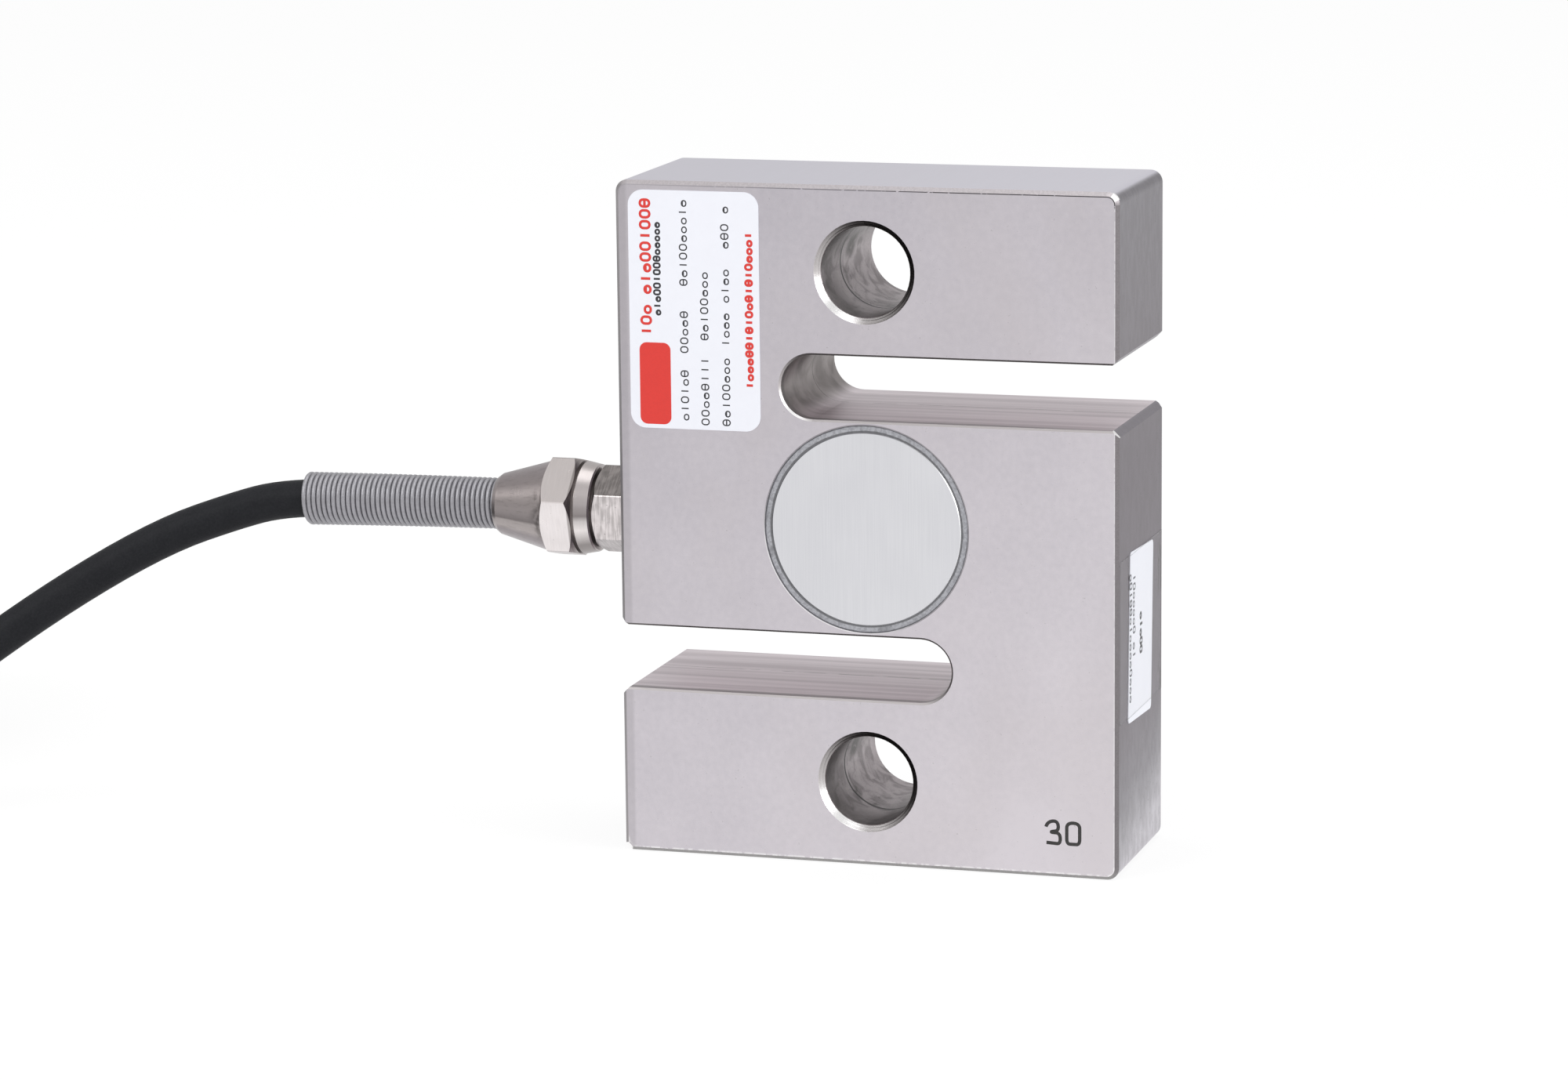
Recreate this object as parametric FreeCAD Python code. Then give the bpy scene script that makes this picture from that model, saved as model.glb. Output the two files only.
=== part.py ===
import FreeCAD, Part  # FreeCAD comes first: Part needs it

import math
import os

# An S-type load cell: a steel block cut by two slots so that its middle shears when a rod eye
# in the upper bore and one in the lower bore are pulled apart or pushed together. Millimetres.
# +Z is up, +X to the right, and the front face looks along -Y. The origin is the middle of the
# bottom face. The cable leaves the left face.

# --- Body ---
BODY_WIDTH = 76.2
BODY_HEIGHT = 101.6
BODY_THICKNESS = 28.6
CORNER_RADIUS = 1.8  # three corners of the outline
CORNER_CHAMFER = 1.0  # the lower left corner and the four corners at the slots' mouths
FACE_CHAMFER = 0.55  # round the front and back faces
SLOT_WIDTH = 9.6
SLOT_EDGE_CHAMFER = 0.3
SLOT_END_REACH = 8.1  # from the load axis to the middle of a slot's round end, past the axis
BEAM_HEIGHT = 32.2  # the sensing beam between the slots
BORE_RADIUS = 6.75
BORE_EDGE = 12.7  # from a bore's axis to the end face beside it
BORE_CHAMFER = 0.9

# --- Gauge pockets, one in each face, with a web between them ---
WEB_THICKNESS = 4.2
COVER_RADIUS = 14.57
COVER_THICKNESS = 1.9
COVER_RECESS = 0.1  # below the face
COVER_CHAMFER = 0.25
SEALANT_WIDTH = 0.98  # the bead's width round the cover
SEALANT_RECESS = 0.2
LEDGE_WIDTH = 2.0  # what the cover and the bead sit on

# --- What is bonded to the web ---
GAUGE_LENGTH = 8.4
GAUGE_WIDTH = 5.0
GAUGE_BACKING = 0.15
GAUGE_FOIL = 0.1
GAUGE_LINES = 6  # an even number brings both ends of the grid to the tabs
GAUGE_LINE_WIDTH = 0.3
GAUGE_LINE_PITCH = 0.6
GAUGE_LINE_LENGTH = 4.2
GAUGE_TAB = 1.2
GAUGE_NECK = 0.4
GAUGE_SPACING = 5.6  # from the load axis to a gauge's middle
GAUGE_LIFT = 3.4  # from the pocket's middle up to a gauge's middle
BOARD_WIDTH = 15.0
BOARD_HEIGHT = 5.0
BOARD_THICKNESS = 0.8
BOARD_DROP = 7.2  # from the pocket's middle down to the board's middle
PAD_PITCH = 3.2
PAD_SIZE = 1.7
PAD_THICKNESS = 0.1
PAD_MARGIN = 0.3  # from the pads to the board's upper edge
RESISTOR_RADIUS = 0.9
RESISTOR_LENGTH = 4.0
RESISTOR_DROP = 1.2  # below the board's middle

# --- Cable, and its four insulated cores inside the body ---
CORD_DIAMETER = 5.9
CORE_DIAMETER = 1.3
CORE_SPACING = 1.5
CORE_CLEARANCE = 1.85  # from the pads to the middle of the nearer pair of cores
CHANNEL_RADIUS = 2.8
CHANNEL_RUNOUT = 5.0  # how far the channel cuts on into the web

# --- Gland on the left face. Its stations are measured outwards from that face ---
GLAND_DROP = 1.3  # from the body's middle down to the gland's axis
THREAD_CLEARANCE = 0.05
THREAD_CHAMFER = 0.5  # at the end of each thread
HEX_BEVEL_SHARE = 0.6  # length of a hexagon's bevel, of its corners' height over its flats
HEX_CORNER_SHARE = 0.993  # how far a hexagon's worn corners reach, of its sharp ones
WASHER_THICKNESS = 0.8
WASHER_RADIUS = 5.6
ENTRY_THREAD_RADIUS = 4.2
ENTRY_THREAD_LENGTH = 8.0
ENTRY_FLATS = 11.8
ENTRY_HEX_LENGTH = 6.6
ENTRY_HEX_TURN = 26.3  # degrees from the front up to a corner of the hexagon
TAP_SPARE = 1.0  # the tapped hole is this much deeper than the thread
CORD_CLEARANCE = 0.15
CORD_INSERTION = 4.0  # how far the jacket reaches in past the left face
NUT_GAP = 0.3
NUT_THREAD_RADIUS = 4.9
NUT_THREAD_LENGTH = 8.0
COLLAR_LENGTH = 2.25
COLLAR_RADIUS = 7.07
COLLAR_SMALL_RADIUS = 6.66
COLLAR_EDGE = 0.2  # chamfer at the collar's small end
NUT_GROOVE_WIDTH = 0.5  # between the collar and the nut's hexagon
NUT_GROOVE_RADIUS = 6.5
NUT_FLATS = 14.3
NUT_HEX_LENGTH = 4.9
NUT_HEX_TURN = 14.0
CONE_STEP = 0.15  # from the nut's flats down to the wide end of its cone
CONE_LENGTH = 8.0
CONE_END_RADIUS = 4.72
NOSE_LENGTH = 0.7
NOSE_RADIUS = 4.2
SEAL_LENGTH = 3.0
SEAL_EDGE = 0.3
THRUST_WASHER = 0.6
NUT_SHOULDER = 0.6  # the wall between the thrust washer and the spring

# --- Close-wound wire spring round the cable ---
SPRING_RADIUS = 4.05
SPRING_WIRE = 0.785
SPRING_REACH = 31.2  # its length outside the nut
SPRING_CLEARANCE = 0.03
SPRING_GROOVE = 0.3  # depth of the groove between two turns

# --- Cord's route from the spring to the coil, then the coil on the ground ---
TIE_THICKNESS = 1.0
CORD_LEVEL = TIE_THICKNESS + CORD_DIAMETER / 2
CORD_RUNS = [
    (-103.0, -1.0, 47.5),
    (-116.0, -4.5, 43.1),
    (-130.0, -11.0, 35.1),
    (-145.0, -18.8, 24.4),
    (-156.0, -23.2, 14.0),
    (-165.5, -26.2, 7.6),
    (-175.0, -27.0, CORD_LEVEL),
    (-185.0, -27.0, CORD_LEVEL),
]
COIL_MEAN_RADIUS = 29.5
COIL_TURNS_ACROSS = 2
COIL_LAYERS = 8
TOP_ARC_START = -66.0  # degrees: the last turn, on top of the coil, runs clockwise from here
TOP_ARC_SWEEP = 240.0

# --- Cable ties, and the end of the cord on top of the coil ---
TIE_WIDTH = 4.0
TIE_ANGLES = (125.0, -125.0)
TIE_CLEARANCE = 0.1
TIE_HEAD = (5.0, 6.0, 3.4)
TIE_HEAD_ROUNDING = 0.5
TIE_MITRE_SHARE = 0.4  # how far the outside of a tie's slanting top stands out, of its thickness
SLEEVE_LENGTH = 6.0
SLEEVE_RADIUS = 2.8
SLEEVE_END_RADIUS = 2.3
LEAD_DIAMETER = 1.3
LEAD_PITCH = 1.6
LEAD_STEP = 8.8  # degrees between the points of a lead's route
LEAD_MOUTHS = ((-1.5, -0.65), (-0.75, 0.8), (0.0, -0.65), (0.75, 0.8), (1.5, -0.65))  # across, up
LEAD_DRIFT = (-0.3, -0.9, -1.6, -2.2, -2.7, -3.0)  # towards the coil's middle at each point
LEAD_SPREAD = (0.0, 0.45, 0.85, 1.0, 1.0, 1.0)  # from two rows in the sleeve to one row on the coil
LEAD_CLEARANCE = 0.1
TINNED_LENGTH = 5.0
TINNED_DIAMETER = 0.9

# --- Labels ---
LABEL_THICKNESS = 0.12
FRONT_LABEL_WIDTH = 20.1
FRONT_LABEL_HEIGHT = 35.5
FRONT_LABEL_RADIUS = 2.3
FRONT_LABEL_LEFT = 2.05  # from the body's left side
FRONT_LABEL_TOP = 1.35  # from the body's top
SIDE_LABEL_WIDTH = 14.9
SIDE_LABEL_HEIGHT = 25.5
SIDE_LABEL_RADIUS = 0.8
SIDE_LABEL_HEIGHT_ABOVE_BASE = 34.7
SIDE_LABEL_SHIFT = -0.4
SIDE_LABEL_LEAN = 2.7  # degrees, its top towards the back
FILM_MARGIN = 0.75  # from the film's upright edges to the front and back faces
FILM_HEIGHT = 24.3
FILM_MIDDLE = 35.3
FILM_THICKNESS = 0.22

# --- Values that follow from the ones above ---
LEFT_FACE = -BODY_WIDTH / 2
FRONT_FACE = -BODY_THICKNESS / 2
MIDDLE = BODY_HEIGHT / 2
GLAND_HEIGHT = MIDDLE - GLAND_DROP
SLOT_RISE = (BEAM_HEIGHT + SLOT_WIDTH) / 2
CORD_RADIUS = CORD_DIAMETER / 2
POCKET_RADIUS = COVER_RADIUS + SEALANT_WIDTH
COVER_SEAT = COVER_RECESS + COVER_THICKNESS
WELL_RADIUS = POCKET_RADIUS - LEDGE_WIDTH
ENTRY_HEX_END = WASHER_THICKNESS + ENTRY_HEX_LENGTH
COLLAR_START = ENTRY_HEX_END + NUT_GAP
COLLAR_END = COLLAR_START + COLLAR_LENGTH
NUT_HEX_START = COLLAR_END + NUT_GROOVE_WIDTH
NUT_HEX_END = NUT_HEX_START + NUT_HEX_LENGTH
NUT_THREAD_END = ENTRY_HEX_END + NUT_THREAD_LENGTH
SEAL_END = NUT_THREAD_END + SEAL_LENGTH
WASHER_END = SEAL_END + THRUST_WASHER
SPRING_START = WASHER_END + NUT_SHOULDER
CONE_END = NUT_HEX_END + CONE_LENGTH
NUT_END = CONE_END + NOSE_LENGTH
SPRING_END = NUT_END + SPRING_REACH
BORE_HOLE_RADIUS = CORD_RADIUS + CORD_CLEARANCE
EXIT = (LEFT_FACE - SPRING_END, 0.0, GLAND_HEIGHT)
COIL_CENTRE_Y = CORD_RUNS[-1][1] + COIL_MEAN_RADIUS + CORD_DIAMETER * (COIL_TURNS_ACROSS - 1) / 2
COIL_OUTER_RADIUS = COIL_MEAN_RADIUS + CORD_DIAMETER * COIL_TURNS_ACROSS / 2
COIL_INNER_RADIUS = COIL_OUTER_RADIUS - CORD_DIAMETER * COIL_TURNS_ACROSS
COIL_TOP = TIE_THICKNESS + CORD_DIAMETER * COIL_LAYERS
TOP_TURN_RADIUS = COIL_OUTER_RADIUS - CORD_RADIUS
ENTRY_STUB = 1.0 + math.sqrt(COIL_OUTER_RADIUS**2 - (COIL_OUTER_RADIUS - CORD_DIAMETER) ** 2)
COIL_CENTRE_X = CORD_RUNS[-1][0] - ENTRY_STUB
TOP_ARC_END = TOP_ARC_START - TOP_ARC_SWEEP

X_AXIS = FreeCAD.Vector(1, 0, 0)
Y_AXIS = FreeCAD.Vector(0, 1, 0)
Z_AXIS = FreeCAD.Vector(0, 0, 1)


def vector(x, y, z):
    return FreeCAD.Vector(x, y, z)


def cylinder(radius, length, start, axis):
    return Part.makeCylinder(radius, length, start, axis)


def cone(start_radius, end_radius, length, start, axis):
    return Part.makeCone(start_radius, end_radius, length, start, axis)


def polygon_prism(points, depth):
    """A prism on a closed polygon of vectors, pushed along the depth vector."""
    return Part.Face(Part.makePolygon(points + points[:1])).extrude(depth)


def upright_edges(solid, axis):
    """The straight edges of a solid that run along one axis."""
    found = []
    for edge in solid.Edges:
        along = edge.Vertexes[-1].Point - edge.Vertexes[0].Point
        if along.Length > 1e-6 and abs(along.normalize().dot(axis)) > 0.999:
            found.append(edge)
    return found


def rounded_plate(width, height, thickness, radius):
    """A plate centred on the origin in XZ, from y = 0 to y = -thickness, with round corners."""
    plate = Part.makeBox(width, thickness, height, vector(-width / 2, -thickness, -height / 2))
    return plate.makeFillet(radius, upright_edges(plate, Y_AXIS))


# --- Body ---


def body_block():
    """The block before it is cut, with its corners and the outlines of its two faces broken."""
    block = Part.makeBox(
        BODY_WIDTH, BODY_THICKNESS, BODY_HEIGHT, vector(LEFT_FACE, FRONT_FACE, 0)
    )
    lower_left = []
    others = []
    for edge in upright_edges(block, Y_AXIS):
        at = edge.Vertexes[0].Point
        if at.x < 0 and at.z < MIDDLE:
            lower_left.append(edge)
        else:
            others.append(edge)
    block = block.makeFillet(CORNER_RADIUS, others)
    corner = [
        vector(LEFT_FACE - 1, FRONT_FACE - 1, -1),
        vector(LEFT_FACE + CORNER_CHAMFER + 1, FRONT_FACE - 1, -1),
        vector(LEFT_FACE - 1, FRONT_FACE - 1, CORNER_CHAMFER + 1),
    ]
    block = block.cut(polygon_prism(corner, Y_AXIS * (BODY_THICKNESS + 2)))
    outlines = []
    for face in block.Faces:
        if abs(face.normalAt(0, 0).dot(Y_AXIS)) > 0.999:
            outlines += face.OuterWire.Edges
    return block.makeChamfer(FACE_CHAMFER, outlines)


def slot_cutter():
    """What the upper slot takes away. It opens to +X, and its middle line is at z = 0."""
    half = SLOT_WIDTH / 2
    wide = half + SLOT_EDGE_CHAMFER
    start = -SLOT_END_REACH
    mouth = BODY_WIDTH / 2
    reach = mouth + 1 - start
    cutter = Part.makeBox(
        reach, BODY_THICKNESS + 2, SLOT_WIDTH, vector(start, FRONT_FACE - 1, -half)
    )
    round_end = cylinder(half, BODY_THICKNESS + 2, vector(start, FRONT_FACE - 1, 0), Y_AXIS)
    cutter = cutter.fuse(round_end)
    for side in (1, -1):
        face = side * BODY_THICKNESS / 2
        inside = face - side * SLOT_EDGE_CHAMFER
        flare = [
            vector(start, face, -wide),
            vector(start, face, wide),
            vector(start, inside, half),
            vector(start, inside, -half),
        ]
        cutter = cutter.fuse(polygon_prism(flare, X_AXIS * reach))
        cutter = cutter.fuse(
            cone(wide, half, SLOT_EDGE_CHAMFER, vector(start, face, 0), Y_AXIS * -side)
        )
        mouth_corner = [
            vector(mouth + 1, FRONT_FACE - 1, side * (half + CORNER_CHAMFER + 1)),
            vector(mouth + 1, FRONT_FACE - 1, side * (half - 1)),
            vector(mouth - CORNER_CHAMFER - 1, FRONT_FACE - 1, side * (half - 1)),
        ]
        cutter = cutter.fuse(polygon_prism(mouth_corner, Y_AXIS * (BODY_THICKNESS + 2)))
    return cutter


def bore_cutter(height):
    """A cross bore through the body, opened out at both faces."""
    wide = BORE_RADIUS + BORE_CHAMFER
    start = vector(0, FRONT_FACE - 1, height)
    cutter = cylinder(BORE_RADIUS, BODY_THICKNESS + 2, start, Y_AXIS)
    for side in (1, -1):
        mouth = vector(0, side * BODY_THICKNESS / 2, height)
        cutter = cutter.fuse(cone(wide, BORE_RADIUS, BORE_CHAMFER, mouth, Y_AXIS * -side))
    return cutter


def pocket_cutter(side):
    """A gauge pocket: a shallow seat for the cover and its sealant, then a well to the web."""
    mouth = vector(0, side * BODY_THICKNESS / 2, MIDDLE)
    seat = cylinder(POCKET_RADIUS, COVER_SEAT, mouth, Y_AXIS * -side)
    depth = (BODY_THICKNESS - WEB_THICKNESS) / 2
    return seat.fuse(cylinder(WELL_RADIUS, depth, mouth, Y_AXIS * -side))


def channel_cutter():
    """The tapped hole for the gland and the wire channel, which opens into both pockets."""
    tap = cylinder(
        ENTRY_THREAD_RADIUS + THREAD_CLEARANCE,
        ENTRY_THREAD_LENGTH + TAP_SPARE,
        vector(LEFT_FACE, 0, GLAND_HEIGHT),
        X_AXIS,
    )
    length = -WELL_RADIUS + CHANNEL_RUNOUT - LEFT_FACE
    channel = cylinder(CHANNEL_RADIUS, length, vector(LEFT_FACE, 0, GLAND_HEIGHT), X_AXIS)
    return tap.fuse(channel)


def sensor_body():
    body = body_block()
    upper = slot_cutter()
    lower = slot_cutter().rotated(vector(0, 0, 0), Y_AXIS, 180)
    body = body.cut(upper.translated(vector(0, 0, MIDDLE + SLOT_RISE)))
    body = body.cut(lower.translated(vector(0, 0, MIDDLE - SLOT_RISE)))
    for height in (BORE_EDGE, BODY_HEIGHT - BORE_EDGE):
        body = body.cut(bore_cutter(height))
    for side in (1, -1):
        body = body.cut(pocket_cutter(side))
    return body.cut(channel_cutter())


# --- Pocket covers and what is bonded to the web ---


def cover(side):
    """A disc on the pocket's ledge, with its outer edge broken."""
    seat = side * (BODY_THICKNESS / 2 - COVER_SEAT)
    straight = COVER_THICKNESS - COVER_CHAMFER
    disc = cylinder(COVER_RADIUS, straight, vector(0, seat, MIDDLE), Y_AXIS * side)
    edge = vector(0, seat + side * straight, MIDDLE)
    top = cone(COVER_RADIUS, COVER_RADIUS - COVER_CHAMFER, COVER_CHAMFER, edge, Y_AXIS * side)
    return disc.fuse(top).removeSplitter()


def sealant(side):
    """The bead between the cover's edge and the pocket's wall."""
    seat = vector(0, side * (BODY_THICKNESS / 2 - COVER_SEAT), MIDDLE)
    depth = COVER_SEAT - SEALANT_RECESS
    bead = cylinder(POCKET_RADIUS, depth, seat, Y_AXIS * side)
    return bead.cut(cover(side))


def strain_gauge():
    """A foil gauge flat in XZ, its back at y = 0 and its grid along X, on the side of -Y."""
    backing = rounded_plate(GAUGE_LENGTH, GAUGE_WIDTH, GAUGE_BACKING, 0.5)
    front = -GAUGE_BACKING - GAUGE_FOIL
    left = (GAUGE_TAB + GAUGE_NECK - GAUGE_LINE_LENGTH) / 2
    top = (GAUGE_LINES - 1) / 2 * GAUGE_LINE_PITCH + GAUGE_LINE_WIDTH / 2
    foil = []
    for i in range(GAUGE_LINES):
        low = i * GAUGE_LINE_PITCH - top
        neck = GAUGE_NECK if i in (0, GAUGE_LINES - 1) else 0
        line = vector(left - neck, front, low)
        foil.append(Part.makeBox(GAUGE_LINE_LENGTH + neck, GAUGE_FOIL, GAUGE_LINE_WIDTH, line))
        if i < GAUGE_LINES - 1:
            turn_at = left if i % 2 else left + GAUGE_LINE_LENGTH - GAUGE_LINE_WIDTH
            height = GAUGE_LINE_PITCH + GAUGE_LINE_WIDTH
            turn = vector(turn_at, front, low)
            foil.append(Part.makeBox(GAUGE_LINE_WIDTH, GAUGE_FOIL, height, turn))
    for low in (top - GAUGE_TAB, -top):
        corner = vector(left - GAUGE_NECK - GAUGE_TAB, front, low)
        foil.append(Part.makeBox(GAUGE_TAB, GAUGE_FOIL, GAUGE_TAB, corner))
    return backing.fuse(foil).removeSplitter()


def placed_gauge(face, across):
    """A gauge at 45 degrees on one face of the web, where shear stretches or shortens it."""
    gauge = strain_gauge()
    gauge.rotate(vector(0, 0, 0), Y_AXIS, -45 * across)
    if across > 0:
        gauge.rotate(vector(0, 0, 0), Y_AXIS, 180)
    if face > 0:
        gauge.rotate(vector(0, 0, 0), Z_AXIS, 180)
    place = vector(across * GAUGE_SPACING, face * WEB_THICKNESS / 2, MIDDLE + GAUGE_LIFT)
    return gauge.translated(place)


def board_height():
    return MIDDLE - BOARD_DROP


def pad_columns():
    return [(i - 1.5) * PAD_PITCH for i in range(4)]


def terminal_board():
    """A small circuit board on the web's front, with a row of solder pads along its top."""
    board = rounded_plate(BOARD_WIDTH, BOARD_HEIGHT, BOARD_THICKNESS, 0.4)
    pads = []
    for column in pad_columns():
        corner = vector(
            column - PAD_SIZE / 2,
            -BOARD_THICKNESS - PAD_THICKNESS,
            BOARD_HEIGHT / 2 - PAD_SIZE - PAD_MARGIN,
        )
        pads.append(Part.makeBox(PAD_SIZE, PAD_THICKNESS, PAD_SIZE, corner))
    board = board.fuse(pads).removeSplitter()
    return board.translated(vector(0, -WEB_THICKNESS / 2, board_height()))


def trim_resistor():
    """A balancing resistor lying along the board under the pads."""
    body = cylinder(
        RESISTOR_RADIUS,
        RESISTOR_LENGTH,
        vector(
            -RESISTOR_LENGTH / 2,
            -WEB_THICKNESS / 2 - BOARD_THICKNESS - RESISTOR_RADIUS,
            board_height() - RESISTOR_DROP,
        ),
        X_AXIS,
    )
    return body.makeFillet(0.25, [e for e in body.Edges if e.Curve.TypeId == "Part::GeomCircle"])


# --- Turned parts of the gland, on one axis ---


def turned(profile):
    """A turned piece from (distance out from the left face, radius) points on its section."""
    points = [vector(LEFT_FACE - s, 0, GLAND_HEIGHT + r) for s, r in profile]
    section = Part.Face(Part.makePolygon(points + points[:1]))
    return section.revolve(vector(0, 0, GLAND_HEIGHT), X_AXIS, 360)


def hexagon(across_flats, start, length, turn):
    """A hexagonal prism on the gland's axis. turn raises one corner from the front."""
    corners = []
    radius = across_flats / math.sqrt(3)
    for k in range(6):
        angle = math.radians(turn + 60 * k)
        y = -radius * math.cos(angle)
        z = GLAND_HEIGHT + radius * math.sin(angle)
        corners.append(vector(LEFT_FACE - start, y, z))
    prism = polygon_prism(corners, X_AXIS * -length)
    bevel = (radius - across_flats / 2) * HEX_BEVEL_SHARE
    wide = radius * HEX_CORNER_SHARE
    flat = across_flats / 2
    envelope = turned(
        [
            (start, 0),
            (start, flat),
            (start + bevel, wide),
            (start + length - bevel, wide),
            (start + length, flat),
            (start + length, 0),
        ]
    )
    return prism.common(envelope)


def gland_washer():
    inner = ENTRY_THREAD_RADIUS + THREAD_CLEARANCE
    ring = [(0, inner), (0, WASHER_RADIUS), (WASHER_THICKNESS, WASHER_RADIUS)]
    return turned(ring + [(WASHER_THICKNESS, inner)])


def gland_body():
    """The piece screwed into the body: inner thread, hexagon, and the thread under the nut."""
    nut_thread = NUT_THREAD_RADIUS
    core = turned(
        [
            (-ENTRY_THREAD_LENGTH, 0),
            (-ENTRY_THREAD_LENGTH, ENTRY_THREAD_RADIUS - THREAD_CHAMFER),
            (-ENTRY_THREAD_LENGTH + THREAD_CHAMFER, ENTRY_THREAD_RADIUS),
            (WASHER_THICKNESS, ENTRY_THREAD_RADIUS),
            (WASHER_THICKNESS, nut_thread),
            (NUT_THREAD_END - THREAD_CHAMFER, nut_thread),
            (NUT_THREAD_END, nut_thread - THREAD_CHAMFER),
            (NUT_THREAD_END, 0),
        ]
    )
    hexed = core.fuse(hexagon(ENTRY_FLATS, WASHER_THICKNESS, ENTRY_HEX_LENGTH, ENTRY_HEX_TURN))
    bore = [(-ENTRY_THREAD_LENGTH - 1, 0), (-ENTRY_THREAD_LENGTH - 1, BORE_HOLE_RADIUS)]
    bore += [(NUT_THREAD_END + 1, BORE_HOLE_RADIUS), (NUT_THREAD_END + 1, 0)]
    return hexed.cut(turned(bore)).removeSplitter()


def gland_nut():
    """Collar, hexagon and cone in one piece, threaded inside, with a socket for the spring."""
    root = NUT_FLATS / 2 - CONE_STEP
    outside = turned(
        [
            (COLLAR_START, 0),
            (COLLAR_START, COLLAR_SMALL_RADIUS - COLLAR_EDGE),
            (COLLAR_START + COLLAR_EDGE, COLLAR_SMALL_RADIUS),
            (COLLAR_END, COLLAR_RADIUS),
            (COLLAR_END, NUT_GROOVE_RADIUS),
            (NUT_HEX_START, NUT_GROOVE_RADIUS),
            (NUT_HEX_START, root),
            (NUT_HEX_END, root),
            (CONE_END, CONE_END_RADIUS),
            (NUT_END, NOSE_RADIUS),
            (NUT_END, 0),
        ]
    )
    outside = outside.fuse(hexagon(NUT_FLATS, NUT_HEX_START, NUT_HEX_LENGTH, NUT_HEX_TURN))
    thread = NUT_THREAD_RADIUS + THREAD_CLEARANCE
    socket = SPRING_RADIUS + SPRING_CLEARANCE
    inside = turned(
        [
            (COLLAR_START - 1, 0),
            (COLLAR_START - 1, thread),
            (WASHER_END, thread),
            (WASHER_END, BORE_HOLE_RADIUS),
            (SPRING_START, BORE_HOLE_RADIUS),
            (SPRING_START, socket),
            (NUT_END + 1, socket),
            (NUT_END + 1, 0),
        ]
    )
    return outside.cut(inside).removeSplitter()


def gland_seal():
    """The rubber ring that the nut squeezes onto the cable."""
    outer = NUT_THREAD_RADIUS
    return turned(
        [
            (NUT_THREAD_END, CORD_RADIUS),
            (NUT_THREAD_END, outer - SEAL_EDGE),
            (NUT_THREAD_END + SEAL_EDGE, outer),
            (SEAL_END, outer),
            (SEAL_END, CORD_RADIUS),
        ]
    )


def thrust_washer():
    outer = NUT_THREAD_RADIUS
    inner = BORE_HOLE_RADIUS
    return turned([(SEAL_END, inner), (SEAL_END, outer), (WASHER_END, outer), (WASHER_END, inner)])


def strain_relief_spring():
    """Close-wound turns, each a ridge between two grooves, from the nut's socket outwards."""
    turns = int((SPRING_END - SPRING_START) / SPRING_WIRE)
    pitch = (SPRING_END - SPRING_START) / turns
    inner = SPRING_RADIUS - SPRING_WIRE
    groove = SPRING_RADIUS - SPRING_GROOVE
    profile = [(SPRING_START, inner), (SPRING_START, groove)]
    for i in range(turns):
        start = SPRING_START + i * pitch
        profile.append((start + pitch / 2, SPRING_RADIUS))
        profile.append((start + pitch, groove))
    profile.append((SPRING_END, inner))
    return turned(profile)


def cable_entry():
    """The straight stretch of cable inside the gland and the spring."""
    start = vector(LEFT_FACE + CORD_INSERTION, 0, GLAND_HEIGHT)
    return cylinder(CORD_RADIUS, CORD_INSERTION + SPRING_END, start, X_AXIS * -1)


# --- Cords: straight runs joined by tangent arcs ---


def run_path(points):
    """The path through a list of points, each turn an arc as large as its two runs allow."""
    share = 0.45  # where an arc starts, of the shorter run beside it
    corners = [vector(*p) for p in points]
    edges = []
    radii = []
    last = corners[0]
    for before, here, after in zip(corners, corners[1:], corners[2:]):
        into = before - here
        out = after - here
        shorter = min(into.Length, out.Length)
        into.normalize()
        out.normalize()
        half_turn = (math.pi - math.acos(max(-1.0, min(1.0, into.dot(out))))) / 2
        setback = share * shorter
        radius = setback / math.tan(half_turn)
        start = here + into * setback
        end = here + out * setback
        bisector = (into + out).normalize()
        middle = here + bisector * (radius / math.cos(half_turn) - radius)
        edges.append(Part.LineSegment(last, start).toShape())
        edges.append(Part.Arc(start, middle, end).toShape())
        radii.append(radius)
        last = end
    edges.append(Part.LineSegment(last, corners[-1]).toShape())
    return Part.Wire(edges), radii


def tube(points, radius, name):
    """A round tube along a path of runs and arcs. It prints the arcs' radii."""
    path, radii = run_path(points)
    direction = vector(*points[1]) - vector(*points[0])
    section = Part.Wire([Part.makeCircle(radius, vector(*points[0]), direction)])
    solid = path.makePipeShell([section], True, False)
    expected = math.pi * radius**2 * path.Length
    print(f"{name}: length {path.Length:.1f}, volume {solid.Volume:.1f} of {expected:.1f}, radii",
          [round(r, 1) for r in radii])
    return solid


def inner_core(index):
    """One insulated core: in along the channel, forward, along the web, down, and onto its pad."""
    row = index % 2 - 0.5
    column = index // 2 - 0.5
    pad = pad_columns()[index]
    pad_y = -WEB_THICKNESS / 2 - BOARD_THICKNESS - PAD_THICKNESS
    pad_z = board_height() + BOARD_HEIGHT / 2 - PAD_MARGIN - PAD_SIZE / 2
    in_y = column * CORE_SPACING
    in_z = GLAND_HEIGHT + row * CORE_SPACING
    turn_x = -WELL_RADIUS + CHANNEL_RUNOUT / 2 + column * CORE_SPACING
    forward = pad_y - CORE_CLEARANCE - (0.5 - column) * CORE_SPACING
    points = [
        (LEFT_FACE + CORD_INSERTION, in_y, in_z),
        (turn_x, in_y, in_z),
        (turn_x, forward, in_z),
        (pad, forward, in_z),
        (pad, forward, pad_z),
        (pad, pad_y, pad_z),
    ]
    return tube(points, CORE_DIAMETER / 2, f"inner_core_{index + 1}")


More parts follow.
